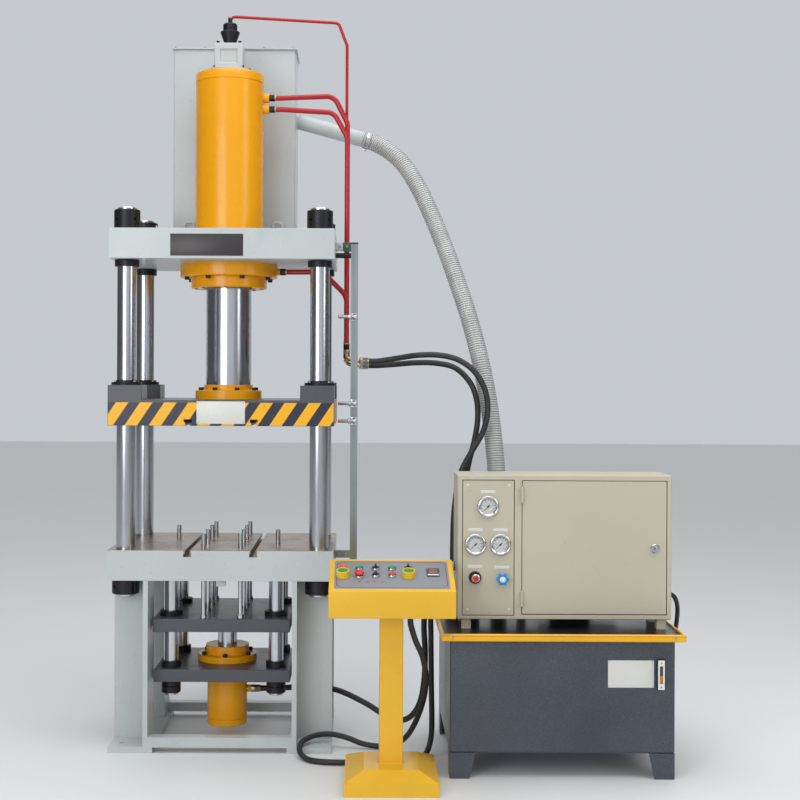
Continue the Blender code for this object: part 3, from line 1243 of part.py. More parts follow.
def console_stand():
    """The console's folded base with its shallow hipped top, and the square post on it."""
    left, right = CONSOLE_X - STAND_W / 2, CONSOLE_X + STAND_W / 2
    made = box("console_stand", (left, STAND_FRONT, 0), (right, STAND_BACK, STAND_LIP))
    shape = bmesh.new()
    rings = []
    for z, inset in ((STAND_LIP - EMBED, 0.0), (STAND_H, STAND_INSET)):
        rings.append([shape.verts.new((x, y, z)) for x, y in
                      ((left + inset, STAND_FRONT + inset), (right - inset, STAND_FRONT + inset),
                       (right - inset, STAND_BACK - inset), (left + inset, STAND_BACK - inset))])
    shape.faces.new(rings[0])
    shape.faces.new(rings[1])
    for i in range(4):
        j = (i + 1) % 4
        shape.faces.new((rings[0][i], rings[0][j], rings[1][j], rings[1][i]))
    hip = from_bmesh("stand_hip", shape, (0, 0, 0))
    post = box("console_post", (CONSOLE_X - POST_W / 2, POST_Y - POST_W / 2, STAND_H - EMBED),
               (CONSOLE_X + POST_W / 2, POST_Y + POST_W / 2, CONSOLE_BOTTOM - CLEAR), 0.004)
    fuse(made, hip, post)
    return finish(made, "console_yellow", smooth=False)


def panel_frame():
    """Where the console's sloping panel starts, and the directions along, up and out of it."""
    slope = math.atan2(CONSOLE_BACK_H - CONSOLE_FRONT_H, CONSOLE_D)
    start = Vector((CONSOLE_X, CONSOLE_FRONT, CONSOLE_BOTTOM + CONSOLE_FRONT_H))
    up = Vector((0, math.cos(slope), math.sin(slope)))
    out = Vector((0, -math.sin(slope), math.cos(slope)))
    return start, up, out, slope


def on_panel(u, v, height=0.0):
    start, up, out, slope = panel_frame()
    return start + Vector((u, 0, 0)) + up * v + out * height


def console_box():
    """The desk-shaped console box, with a ring at each operator, their holes, and the counter's frame."""
    profile = [(0, 0), (CONSOLE_D, 0), (CONSOLE_D, CONSOLE_BACK_H), (0, CONSOLE_FRONT_H)]
    turn = Matrix(((0, 0, 1), (1, 0, 0), (0, 1, 0))).to_euler()
    made = prism("console_box", profile, CONSOLE_W, (CONSOLE_X, CONSOLE_FRONT, CONSOLE_BOTTOM), turn)
    soften(made, 0.003)
    added, holes = [], []
    for name, u, v, kind in operator_places():
        added.append(rod(f"ring_{name}", RING_R, on_panel(u, v, -EMBED), on_panel(u, v, RING_H), BUTTON_SIDES))
        holes.append(rod(f"hole_{name}", BUTTON_HOLE_R, on_panel(u, v, -BUTTON_STEM - 0.004), on_panel(u, v, RING_H + EMBED), ROD_SIDES))
    added.append(rod("box_gland", GLAND_FIT_R, (BOX_CABLE_X, BOX_CABLE_Y, CONSOLE_BOTTOM - GLAND_FIT_L),
                     (BOX_CABLE_X, BOX_CABLE_Y, CONSOLE_BOTTOM + EMBED), ROD_SIDES))
    start, up, out, slope = panel_frame()
    counter = box("counter", (-COUNTER_W / 2, -COUNTER_D / 2, -EMBED), (COUNTER_W / 2, COUNTER_D / 2, COUNTER_T), 0.002)
    counter.location = on_panel(COUNTER_U, COUNTER_V, (COUNTER_T - EMBED) / 2)
    counter.rotation_euler = (slope, 0, 0)
    added.append(counter)
    fuse(made, *added)
    cut(made, *holes)
    return finish(made, "console_yellow", smooth=False)


def operator_places():
    """Name, place along and up the panel, and kind of each operator."""
    kinds = {
        (0, 0): ("power_lamp_button", "red"), (0, 1): ("start_button", "green"), (0, 2): ("mode_selector", "selector"),
        (0, 3): ("return_button", "green"), (0, 4): ("ejector_selector", "selector"),
        (1, 0): ("left_press_button", "green"), (1, 1): ("emergency_stop", "mushroom"),
        (1, 2): ("motor_selector", "selector"), (1, 3): ("stop_button", "red"), (1, 4): ("right_press_button", "green"),
    }
    for (row, column_index), (name, kind) in kinds.items():
        yield name, BUTTON_COLUMNS[column_index], BUTTON_ROWS[row], kind


def operator(name, u, v, kind):
    """A push button, mushroom stop or selector, with its stem down through the console's skin."""
    start, up, out, slope = panel_frame()
    seat = RING_H + CLEAR
    if kind == "mushroom":
        profile = [(0, seat + MUSHROOM_H), (MUSHROOM_R - 0.007, seat + MUSHROOM_H - 0.002), (MUSHROOM_R, seat + MUSHROOM_H - 0.008),
                   (MUSHROOM_R - 0.003, seat + MUSHROOM_H - 0.012), (0.010, seat + 0.006), (0.010, seat + PRESS_TRAVEL)]
        low = PRESS_TRAVEL
    elif kind == "selector":
        profile = [(0, seat + SELECTOR_H), (SELECTOR_R - 0.002, seat + SELECTOR_H), (SELECTOR_R, seat + SELECTOR_H - 0.002), (SELECTOR_R, seat)]
        low = 0
    else:
        profile = [(0, seat + BUTTON_H), (BUTTON_R - 0.002, seat + BUTTON_H), (BUTTON_R, seat + BUTTON_H - 0.002), (BUTTON_R, seat + PRESS_TRAVEL)]
        low = PRESS_TRAVEL
    stem_end = -BUTTON_STEM + (PRESS_TRAVEL if low else 0)
    profile += [(BUTTON_STEM_R, seat + low), (BUTTON_STEM_R, stem_end), (0, stem_end)]
    made = turned(name, profile, on_panel(u, v), (slope, 0, 0), BUTTON_SIDES)
    if kind == "selector":
        grip = box(f"{name}_grip", (-GRIP_W / 2, -SELECTOR_R + 0.001, 0), (GRIP_W / 2, SELECTOR_R - 0.001, GRIP_H + EMBED), 0.0015)
        grip.location = on_panel(u, v, seat + SELECTOR_H + (GRIP_H - EMBED) / 2)
        grip.rotation_euler = (slope, 0, 0)
        fuse(made, grip)
    paint = {"red": "red_plastic", "green": "green_plastic", "mushroom": "red_plastic", "selector": "black_plastic"}[kind]
    return finish(made, paint, smooth=kind != "selector")


PRESS_TRAVEL = 0.004


def cords():
    """The big clear hose, three pressure hoses and two cables, each on its own smooth route."""
    along = Vector((math.cos(STUB_SLOPE), 0, -math.sin(STUB_SLOPE)))
    start = stub_end() + CLEAR * along
    suction = [start, start + 0.045 * along, (0.775, 0.345, 2.860), (0.852, 0.305, 2.780), (0.932, 0.250, 2.640),
               (1.020, 0.170, 2.425), (1.092, 0.090, 2.215), (1.160, 0.020, 1.992), (1.217, -0.045, 1.750),
               (1.255, -0.095, 1.510), (1.277, -0.130, 1.275), (1.285, -0.148, 1.060), (SPIGOT_X, SPIGOT_Y, 0.880),
               (SPIGOT_X, SPIGOT_Y, 0.800), (SPIGOT_X, SPIGOT_Y, SPIGOT_TOP + CLEAR)]
    first, second = HOSE_PORTS
    upper = [(COUPLING_X + CLEAR, -0.030, COUPLING_Z), (COUPLING_X + 0.040, -0.030, COUPLING_Z), (0.800, -0.050, 1.803),
             (0.900, -0.100, 1.818), (1.000, -0.130, 1.819), (1.090, -0.155, 1.798), (1.165, -0.175, 1.745),
             (1.215, -0.190, 1.660), (1.228, -0.200, 1.560), (1.205, -0.210, 1.460), (1.150, -0.222, 1.365),
             (1.098, -0.234, 1.260), (first[0] + 0.006, first[1], 1.100), (*first, 0.940), (*first, 0.850),
             (*first, PORT_TOP + CLEAR)]
    low_z = COUPLING_Z - 0.020
    lower = [(COUPLING_X + CLEAR, 0.030, low_z), (COUPLING_X + 0.040, 0.030, low_z), (0.800, 0.010, 1.776),
             (0.900, -0.030, 1.784), (1.000, -0.068, 1.781), (1.085, -0.100, 1.758), (1.150, -0.150, 1.690),
             (1.180, -0.160, 1.610), (1.185, -0.165, 1.520), (1.170, -0.168, 1.420), (1.145, -0.170, 1.320),
             (1.122, -0.172, 1.200), (second[0] + 0.004, second[1], 1.060), (*second, 0.930), (*second, 0.850),
             (*second, PORT_TOP + CLEAR)]
    eject = [(EJECT_CYL_R + 0.020 + CLEAR, 0, EJECT_PORT_Z), (0.165, 0, EJECT_PORT_Z), (0.260, 0, 0.217),
             (0.380, 0, 0.222), (0.520, -0.010, 0.212), (0.660, -0.030, 0.155), (0.780, -0.060, 0.090),
             (0.860, -0.100, 0.095), (0.915, -0.140, 0.170), (0.938, -0.170, 0.290), (0.942, -0.185, 0.430),
             (0.936, SIDE_PORT_Y, 0.550), (0.944, SIDE_PORT_Y, 0.632), (0.975, SIDE_PORT_Y, SIDE_PORT_Z - 0.010),
             (BLOCK_X0 - 0.045, SIDE_PORT_Y, SIDE_PORT_Z), (BLOCK_X0 - 0.020 - CLEAR, SIDE_PORT_Y, SIDE_PORT_Z)]
    exit_z = CONSOLE_BOTTOM - GLAND_FIT_L - CLEAR
    entry = CAB_X0 - GLAND_FIT_L - CLEAR
    console = [(BOX_CABLE_X, BOX_CABLE_Y, exit_z), (BOX_CABLE_X, BOX_CABLE_Y, exit_z - 0.030), (0.872, -0.772, 0.600),
               (0.908, -0.725, 0.510), (0.924, -0.650, 0.400), (0.915, -0.565, 0.290), (0.888, -0.470, 0.178),
               (0.850, -0.385, 0.088), (0.800, -0.320, 0.036), (0.730, -0.285, 0.016), (0.650, -0.272, 0.024),
               (0.580, -0.262, 0.048), (0.510, -0.262, 0.064), (0.445, -0.275, 0.064), (0.395, -0.315, 0.056),
               (0.368, -0.372, 0.044), (0.372, -0.435, 0.026), (0.405, -0.492, CABLE_Z), (0.460, -0.528, CABLE_Z),
               (0.530, -0.540, CABLE_Z), (0.620, -0.540, CABLE_Z), (0.720, -0.538, CABLE_Z), (0.810, -0.528, CABLE_Z),
               (0.880, -0.500, CABLE_Z), (0.932, -0.448, 0.024), (0.960, -0.390, 0.080), (0.966, -0.352, 0.160),
               (0.965, -0.336, 0.260), (0.963, -0.332, 0.400), (0.961, -0.336, 0.540), (0.958, -0.350, 0.660),
               (0.955, -0.380, 0.765), (0.965, -0.420, 0.838), (0.990, -0.444, 0.866), (entry - 0.026, CABINET_CABLE_Y, 0.870),
               (entry, CABINET_CABLE_Y, 0.870)]
    side = CAB_X0 + CAB_W + 0.014 + CLEAR
    tank_side = TANK_X0 + TANK_W + 0.014 + CLEAR
    power = [(side, CABINET_CABLE_Y, 0.750), (side + 0.014, CABINET_CABLE_Y, 0.750), (2.047, -0.445, 0.732),
             (2.063, -0.430, 0.685), (2.066, -0.400, 0.610), (2.062, -0.360, 0.530), (2.050, -0.325, 0.460),
             (2.030, -0.302, 0.424), (tank_side + 0.014, -0.300, 0.420), (tank_side, -0.300, 0.420)]
    finish(tube("suction_hose", smooth_route(suction, 0.12), SUCTION_R, 3), "clear_hose")
    finish(tube("pressure_hose_upper", smooth_route(upper, 0.062), PRESSURE_R), "rubber")
    finish(tube("pressure_hose_lower", smooth_route(lower, 0.062), PRESSURE_R), "rubber")
    finish(tube("ejector_hose", smooth_route(eject, 0.060), PRESSURE_R), "rubber")
    finish(tube("console_cable", smooth_route(console, 0.055), CABLE_R), "rubber")
    finish(tube("cabinet_cable", smooth_route(power, 0.032), POWER_CABLE_R), "rubber")


def build():
    base_frame()
    table()
    for name, x, y in column_places():
        column(name, x, y)
    crown()
    for side, sx in (("left", -1), ("right", 1)):
        lifting_eye(side, sx)
    main_cylinder()
    gland_ring()
    ram()
    ram_flange()
    slide()
    prefill_valve()
    top_tank()
    red_pipes()
    limit_rail()
    for place, z in SWITCH_Z.items():
        limit_switch(place, z)
    ejector_frame()
    ejector_cylinder()
    ejector_ram()
    ejector_plate()
    oil_tank()
    tray()
    cabinet()
    cabinet_door()
    door_lock()
    gauge_panel()
    for place, (x, z) in DIALS.items():
        dial_needle(place, x, z)
    panel_knobs()
    motor()
    pump()
    valve_block()
    console_stand()
    console_box()
    for name, u, v, kind in operator_places():
        operator(name, u, v, kind)
    cords()


build()
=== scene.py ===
# The finish of the four-column press: paints, metals, hoses and the small pieces that the solids leave plain.
# Places are in metres about the press axis on the floor, and PRESS moves them into the machine's frame.

import json
import math

import bpy
from mathutils import Matrix, Vector

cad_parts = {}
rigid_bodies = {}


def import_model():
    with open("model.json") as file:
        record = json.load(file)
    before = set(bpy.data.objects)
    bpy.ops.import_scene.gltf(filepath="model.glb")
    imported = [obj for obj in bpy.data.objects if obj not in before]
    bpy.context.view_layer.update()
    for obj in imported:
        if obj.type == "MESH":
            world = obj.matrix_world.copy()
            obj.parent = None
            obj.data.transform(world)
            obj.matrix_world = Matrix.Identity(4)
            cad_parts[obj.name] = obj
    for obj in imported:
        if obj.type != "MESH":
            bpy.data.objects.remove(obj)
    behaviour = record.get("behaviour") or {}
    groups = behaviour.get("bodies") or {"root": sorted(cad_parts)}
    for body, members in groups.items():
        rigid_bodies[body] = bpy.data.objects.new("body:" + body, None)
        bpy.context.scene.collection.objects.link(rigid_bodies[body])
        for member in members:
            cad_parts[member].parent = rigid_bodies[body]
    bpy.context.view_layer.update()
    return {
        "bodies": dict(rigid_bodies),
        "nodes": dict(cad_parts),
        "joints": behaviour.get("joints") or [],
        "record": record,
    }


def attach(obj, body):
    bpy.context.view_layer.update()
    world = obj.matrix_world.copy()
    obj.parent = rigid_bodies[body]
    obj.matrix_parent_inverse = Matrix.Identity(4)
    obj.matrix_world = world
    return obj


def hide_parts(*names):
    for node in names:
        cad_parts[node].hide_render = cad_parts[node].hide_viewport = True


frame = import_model()
NODES = frame["nodes"]

# The press axis, and the gap between pieces that sit on each other
PRESS_X = -0.754
PRESS_Y = 0.232
PRESS = Matrix.Translation((PRESS_X, PRESS_Y, 0))
HERE = Matrix.Identity(4)
SIGNS = (-1, 1)
CLEAR = 0.0003

# Camera, at eye height in front of the press
EYE = (0.6415, -6.45, 1.70)
LENS = 60.3
SHIFT = (0.0475, -0.025)
ROLL = math.radians(0.25)

# Plates, columns and nuts
PLATE_W, PLATE_D = 1.03, 0.72
FRONT = -PLATE_D / 2
SIDE = PLATE_W / 2
TABLE_BOTTOM, TABLE_TOP = 0.783, 0.921
CROWN_BOTTOM, CROWN_TOP = 2.249, 2.389
SLIDE_BOTTOM, SLIDE_TOP = 1.488, 1.606
BOSS_W, BOSS_TOP = 0.155, 1.673
COLUMN_X, COLUMN_Y, COLUMN_R = 0.445, 0.265, 0.045
COLUMN_END = 0.012
BUSH_R, BUSH_H = 0.0695, 0.022
SLOT_X, SLOT_NECK, SLOT_HEAD, SLOT_NECK_DEPTH, SLOT_DEPTH = 0.150, 0.022, 0.035, 0.016, 0.029
EYE_X, EYE_Y, EYE_W, EYE_H, EYE_R, EYE_BEND = 0.218, 0.195, 0.046, 0.088, 0.007, 0.014

# Cylinder, ram, valve and top tank
CYL_R, CYL_TOP, CYL_SEAM = 0.1625, 3.163, 3.119
FLANGE_R, FLANGE_H = 0.233, 0.062
GLAND_R, GLAND_H, FLANGE_SCREWS_R, GLAND_SCREWS_R = 0.182, 0.051, 0.208, 0.157
RAM_R, RAM_TOP = 0.110, 2.760
RAM_FLANGE_R, RAM_FLANGE_H, RAM_COLLAR_R, RAM_COLLAR_H = 0.159, 0.042, 0.117, 0.026
PORT_X, UPPER_PORT_Z, LOWER_PORT_Z = 0.190, 3.055, 3.000
TANK_TOP_W, TANK_TOP_FRONT, TANK_TOP_D, TANK_TOP_H = 0.606, 0.230, 0.300, 0.956
STUB_FOOT, STUB_R, STUB_LENGTH = (0.303, 0.380, 3.018), 0.0385, 0.355
STUB_SLOPE = math.radians(15.3)

# Pipes, rail and switches
PIPE_R, PILOT_R, PIPE_X, PIPE_FOOT_Z = 0.0125, 0.0075, 0.566, 1.845
RAIL_X, RAIL_Y, RAIL_W, RAIL_TOP = 0.604, -0.120, 0.034, 2.345
BRACKET_LOW, BRACKET_HIGH, BRACKET_SPLIT, BRACKET_SCREWS = 2.3105, 2.3475, 0.549, (0.535, 0.568)
CLAMP_LOW, CLAMP_HIGH, CLAMP_SPLIT, CLAMP_END = 2.328, 2.359, 0.549, 0.586
SWITCH_Z = {"upper": 1.997, "middle": 1.5895, "lower": 1.507}
SWITCH_R, SWITCH_TIP_X, SWITCH_END_X, SWITCH_Y = 0.009, 0.529, 0.6125, -0.156

# Ejector
EJECT_ROD_X, EJECT_ROD_Y, EJECT_ROD_R = 0.245, 0.180, 0.035
EJECT_BASE_W, EJECT_BASE_D, EJECT_BASE_BOTTOM, EJECT_BASE_TOP = 0.630, 0.520, 0.301, 0.358
EJECT_PLATE_D, EJECT_PLATE_BOTTOM, EJECT_PLATE_TOP = 0.600, 0.539, 0.599
EJECT_CYL_R, EJECT_CYL_BOTTOM, EJECT_FLANGE_R, EJECT_GLAND_R = 0.0955, 0.050, 0.140, 0.1035
PIN_R, PIN_TOP, PIN_X = 0.011, 0.990, 0.085
PIN_ROWS = (-0.270, -0.090, 0.090, 0.270)

# Power unit
TANK_FRONT = -0.730
GAUGE_X, GAUGE_W, GAUGE_Z, GAUGE_H, GAUGE_D, OIL_LEVEL = 1.906, 0.030, 0.386, 0.127, 0.018, 0.060
LABEL_X, LABEL_W, LABEL_Z, LABEL_H = 1.697, 0.196, 0.392, 0.116
TRAY_FLOOR, TRAY_RIM, TRAY_FRONT = 0.616, 0.624, -0.7695
UNIT_FOOT = TRAY_FLOOR + CLEAR
CAB_X0, CAB_FRONT = 1.061, -0.610
HINGE_X, HINGE_Y, HINGE_Z = 1.3415, -0.6175, (0.750, 1.203)
LOCK_X, LOCK_Z = 1.921, 0.971
PANEL_X0, PANEL_W, PANEL_Z0, PANEL_H = 1.0838, 0.2228, 0.679, 0.586
PANEL_FRONT = CAB_FRONT + 0.001
DIALS = {"main": (1.193, 1.151), "left": (1.138, 0.985), "right": (1.247, 0.985)}
DIAL_R, DIAL_RIM, DIAL_H, DIAL_FACE, DIAL_SCALE = 0.046, 0.006, 0.014, 0.004, 0.0345
THROTTLE, STAR = (1.138, 0.8415), (1.2547, 0.838)
MOTOR_X0, MOTOR_L, MOTOR_Y, MOTOR_Z, FIN_COUNT = 1.480, 0.330, -0.140, 0.790, 44
PUMP_X0, PUMP_R, BELL_R = 1.375, 0.065, 0.085
BLOCK_X0, BLOCK_W, BLOCK_FRONT, BLOCK_D, BLOCK_H = 1.036, 0.150, -0.300, 0.210, 0.130
SPIGOT_X, SPIGOT_Y, SPIGOT_TOP, SPIGOT_R = 1.287, -0.155, 0.740, 0.038

# Console
CONSOLE_X, CONSOLE_FRONT, CONSOLE_W, CONSOLE_D, CONSOLE_BOTTOM = 0.770, -0.950, 0.525, 0.290, 0.720
CONSOLE_FRONT_H, CONSOLE_BACK_H = 0.114, 0.206
PANEL_SLOPE = math.atan2(CONSOLE_BACK_H - CONSOLE_FRONT_H, CONSOLE_D)
DESK = (
    PRESS @ Matrix.Translation((CONSOLE_X, CONSOLE_FRONT, CONSOLE_BOTTOM + CONSOLE_FRONT_H))
    @ Matrix.Rotation(PANEL_SLOPE, 4, "X")
)
BUTTON_COLUMNS = (-0.205, -0.136, -0.067, 0.002, 0.071)
BUTTON_ROWS = (0.20, 0.135)
COLLAR_R, COLLAR_H = 0.0175, 0.006

# Hoses and cables
SUCTION_R, PRESSURE_R, CABLE_R, POWER_CABLE_R = 0.0425, 0.0135, 0.0125, 0.010
CABLE_Z = CABLE_R + 0.001
COUPLING_X, COUPLING_Z = 0.672, 1.790
HOSE_PORTS, PORT_TOP = ((1.066, -0.240), (1.101, -0.175)), 0.800
SIDE_PORT = (1.016, -0.190, 0.686)
CABLE_EXIT = (0.850, -0.800, 0.7067)


def facing(x, y, z, axis=(0, 0, 1)):
    """The frame whose Z runs along an axis from a place."""
    return PRESS @ Matrix.Translation((x, y, z)) @ Vector(axis).to_track_quat("Z", "Y").to_matrix().to_4x4()


def upright(x, y, z):
    """The frame of a face that looks at the operator: X to the right, Y up, Z out of the face."""
    return PRESS @ Matrix.Translation((x, y, z)) @ Matrix.Rotation(math.radians(90), 4, "X")


def srgb(red, green, blue):
    """A colour written as it looks on a screen, from 0 to 255, as the linear one that a shader takes."""
    return tuple(((c / 255 + 0.055) / 1.055) ** 2.4 for c in (red, green, blue))


def shade(color, by):
    return tuple(min(1, c * by) for c in color)


# Shader maths


class Field:
    """A number that varies over a surface. Python's operators on it add Math nodes."""

    def __init__(self, finish, socket):
        self.finish, self.socket = finish, socket

    def math(self, operation, *values):
        node = self.finish.node("ShaderNodeMath", {"operation": operation}, dict(enumerate(values)))
        return Field(self.finish, node.outputs[0])

    def __add__(self, other):
        return self.math("ADD", self, other)

    def __sub__(self, other):
        return self.math("SUBTRACT", self, other)

    def __rsub__(self, other):
        return self.math("SUBTRACT", other, self)

    def __mul__(self, other):
        return self.math("MULTIPLY", self, other)

    def __truediv__(self, other):
        return self.math("DIVIDE", self, other)

    def __gt__(self, other):
        return self.math("GREATER_THAN", self, other)

    def __lt__(self, other):
        return self.math("LESS_THAN", self, other)

    def __abs__(self):
        return self.math("ABSOLUTE", self)

    __radd__ = __add__
    __rmul__ = __mul__

    def fraction(self):
        return self.math("FRACT", self)

    def sine(self):
        return self.math("SINE", self)

    def root(self):
        return self.math("SQRT", self)

    def angle_with(self, other):
        return self.math("ARCTAN2", self, other)

    def larger(self, other):
        return self.math("MAXIMUM", self, other)

    def ramp(self, low, high):
        """0 below low, 1 above high, and even between."""
        inputs = {"Value": self, "From Min": low, "From Max": high}
        return Field(self.finish, self.finish.node("ShaderNodeMapRange", {"clamp": True}, inputs).outputs[0])


class Finish:
    """One material: a Principled shader, and the nodes that vary its colour, roughness and relief."""

    def __init__(self, name, color, roughness=0.4, metallic=0.0, **fixed):
        self.material = bpy.data.materials.new(name)
        self.material.use_nodes = True
        self.tree = self.material.node_tree
        self.shader = self.tree.nodes["Principled BSDF"]
        self.base = self.shader.inputs["Base Color"]
        self.base.default_value = (*color, 1)
        self.color = color
        self.coordinates = self.relief = None
        for socket, value in {"Roughness": roughness, "Metallic": metallic, **fixed}.items():
            self.shader.inputs[socket.replace("_", " ")].default_value = value

    def feed(self, socket, value):
        """Sets a socket, or links it if the value is another node's output."""
        value = value.socket if isinstance(value, Field) else value
        if isinstance(value, bpy.types.NodeSocket):
            self.tree.links.new(value, socket)
        elif socket.type == "RGBA":
            socket.default_value = (*value, 1)
        else:
            socket.default_value = value

    def node(self, kind, settings=None, inputs=None):
        """Any node: its type, then its settings, then the values or links of its sockets."""
        made = self.tree.nodes.new(kind)
        for setting, value in (settings or {}).items():
            setattr(made, setting, value)
        for socket, value in (inputs or {}).items():
            self.feed(made.inputs[socket], value)
        return made

    def place(self, stretch=None, turn=None, origin=None):
        """Object coordinates: moved to an origin in the machine's frame, then turned, then stretched."""
        if self.coordinates is None:
            self.coordinates = self.node("ShaderNodeTexCoord").outputs["Object"]
        found = self.coordinates
        if origin is not None:
            found = self.node("ShaderNodeVectorMath", {"operation": "SUBTRACT"},
                              {0: found, 1: origin}).outputs[0]
        if turn is not None:
            found = self.node("ShaderNodeMapping", None, {"Vector": found, "Rotation": turn}).outputs[0]
        if stretch is not None:
            found = self.node("ShaderNodeVectorMath", {"operation": "MULTIPLY"},
                              {0: found, 1: stretch}).outputs[0]
        return found

    def axes(self, **how):
        """Object coordinates as three numbers."""
        split = self.node("ShaderNodeSeparateXYZ", None, {0: self.place(**how)})
        return [Field(self, socket) for socket in split.outputs]

    def along(self):
        """A tube's own UV map as two numbers: metres along it, and turns round it."""
        mapped = self.node("ShaderNodeUVMap", {"uv_map": "UVMap"}).outputs[0]
        split = self.node("ShaderNodeSeparateXYZ", None, {0: mapped})
        return Field(self, split.outputs[0]), Field(self, split.outputs[1])

    def noise(self, scale, detail=2.0, rough=0.5, **how):
        inputs = {"Vector": self.place(**how), "Scale": scale, "Detail": detail, "Roughness": rough}
        return Field(self, self.node("ShaderNodeTexNoise", None, inputs).outputs[0])

    def cells(self, scale, **how):
        inputs = {"Vector": self.place(**how), "Scale": scale}
        return Field(self, self.node("ShaderNodeTexVoronoi", None, inputs).outputs["Distance"])

    def tint(self, mask, color):
        """Turns the base colour towards another where the mask is 1."""
        before = self.base.links[0].from_socket if self.base.is_linked else self.color
        mixed = self.node("ShaderNodeMix", {"data_type": "RGBA"}, {0: mask, 6: before, 7: color})
        self.feed(self.base, mixed.outputs[2])

    def set(self, socket, value):
        self.feed(self.shader.inputs[socket], value)

    def raise_by(self, height, distance):
        """Adds relief: a height of 1 stands this many metres proud of a height of 0."""
        inputs = {"Height": height, "Distance": distance, "Strength": 1.0}
        if self.relief is not None:
            inputs["Normal"] = self.relief
        self.relief = self.node("ShaderNodeBump", None, inputs).outputs[0]
        self.set("Normal", self.relief)


# Finishes

GREY = srgb(187, 194, 195)
ORANGE = srgb(238, 163, 12)
YELLOW = srgb(232, 181, 44)
DARK_GREY = srgb(76, 79, 85)
BEIGE = srgb(190, 184, 164)
PIPE_RED = srgb(176, 30, 38)


def painted(name, color, roughness=0.32, grime=0.35, peel=0.00012):
    """Sprayed machine paint: a faint orange peel, uneven gloss, fine dust and a few rubbed spots."""
    paint = Finish(name, color, roughness, Coat_Weight=0.15, Coat_Roughness=0.12, Specular_IOR_Level=0.35)
    broad = paint.noise(2.3, 3)
    smear = paint.noise(9, 5, 0.65, stretch=(1, 1, 0.35))
    paint.tint(broad.ramp(0.40, 0.72) * 0.20, shade(color, 0.62))
    paint.tint(smear.ramp(0.56, 0.76) * (grime * 0.5), shade(color, 0.62))
    paint.tint(paint.noise(75, 3).ramp(0.66, 0.72) * (grime * 0.6), shade(color, 0.4))
    paint.tint(paint.noise(48, 4).ramp(0.69, 0.73) * 0.35, shade(color, 1.2))
    paint.set("Roughness", broad * 0.10 + smear.ramp(0.5, 0.8) * 0.16 + (roughness - 0.05))
    paint.raise_by(paint.noise(190, 2), peel)
    return paint


def powder_coat():
    """Beige powder coat: a fine pebbled surface with hardly any gloss."""
    coat = Finish("beige powder coat", BEIGE, 0.52)
    broad = coat.noise(1.8, 3)
    coat.tint(broad.ramp(0.42, 0.75) * 0.22, shade(BEIGE, 0.72))
    coat.tint(coat.noise(60, 4).ramp(0.68, 0.74) * 0.3, shade(BEIGE, 0.55))
    coat.set("Roughness", broad * 0.12 + 0.46)
    coat.raise_by(coat.cells(520), 0.00012)
    return coat


def hammered_paint():
    """The tank's dark hammered paint: shallow round dimples, with bright flecks painted among them as glints
    of light.
    """
    color = srgb(58, 65, 76)
    paint = Finish("hammered tank paint", color, 0.30, 0.25, Coat_Weight=0.1, Coat_Roughness=0.15)
    dimples = paint.cells(190)
    glints_and_fleck_relief = paint.noise(360, 2)
    paint.tint(dimples.ramp(0.10, 0.50) * 0.45, srgb(86, 90, 98))
    # Painted glints: small bright spots of colour that stand in for sparkling highlights. The same noise also
    # gives a faint relief.
    paint.tint(glints_and_fleck_relief.ramp(0.56, 0.68) * 0.55, srgb(128, 129, 132))
    paint.tint(paint.noise(1.6, 4).ramp(0.45, 0.70) * 0.45, srgb(44, 49, 60))
    paint.set("Roughness", dimples * 0.25 + 0.22)
    paint.raise_by(dimples, 0.0013)
    paint.raise_by(glints_and_fleck_relief, 0.0004)
    return paint


def striped_slide_paint():
    """Dark slide paint, with leaning yellow hazard stripes across the lower front face."""
    paint = painted("dark slide paint with hazard stripes", DARK_GREY, 0.38, 0.4)
    pitch, share, lean = 0.1095, 0.52, 0.67
    x, y, z = paint.axes(origin=(PRESS_X, PRESS_Y, 0))
    band = (y < FRONT + 0.0014) * (z > SLIDE_BOTTOM
                                   + 0.001) * (z < SLIDE_TOP - 0.012) * (abs(x) < SIDE - 0.002)
    stripe = ((x - (z - SLIDE_BOTTOM) * lean + 46 * pitch) / pitch).fraction() < share
    worn = 1 - paint.noise(34, 5, 0.7).ramp(0.63, 0.72) * 0.55
    paint.tint(band, srgb(41, 44, 58))
    paint.tint(band * stripe * worn, srgb(240, 176, 20))
    return paint


def table_finish():
    """Grey paint on the sides, and bright milled steel with oil stains on top and in the slots."""
    paint = painted("grey table with milled top", GREY)
    x, y, z = paint.axes(origin=(PRESS_X, PRESS_Y, 0))
    slot = (z > TABLE_TOP - SLOT_DEPTH - 0.001) * (abs(abs(x) - SLOT_X) < SLOT_HEAD / 2 + 0.0005)
    steel = (z > TABLE_TOP - 0.0006).larger(slot)
    stain = paint.noise(7, 5, 0.6)
    paint.tint(steel, srgb(158, 142, 128))
    paint.tint(steel * stain.ramp(0.42, 0.66) * 0.7, srgb(112, 92, 76))
    paint.tint(steel * paint.noise(38, 4).ramp(0.60, 0.70) * 0.5, srgb(196, 190, 184))
    paint.set("Metallic", steel * 0.75)
    paint.set("Roughness", stain * 0.16 + 0.30)
    paint.raise_by((y * 420 + paint.noise(30, 2) * 3).sine() * steel, 0.00004)
    return paint


def metal(name, color, roughness, grain, stains=0.45, relief=0.00002):
    """A bare or plated metal, with grinding marks along a grain, oil streaks and handling marks."""
    surface = Finish(name, color, roughness, 1.0)
    rings = surface.noise(9, 2, stretch=grain)
    streaks = surface.noise(26, 4, 0.6, stretch=(1, 1, 0.08))
    surface.tint(streaks.ramp(0.46, 0.74) * stains, shade(color, 0.5))
    surface.tint(surface.noise(14, 5, 0.7).ramp(0.62, 0.72) * (stains * 0.8), shade(color, 0.32))
    surface.set("Roughness", rings * 0.08 + streaks.ramp(0.4, 0.8) * 0.14 + roughness * 0.7)
    surface.raise_by(rings, relief)
    return surface


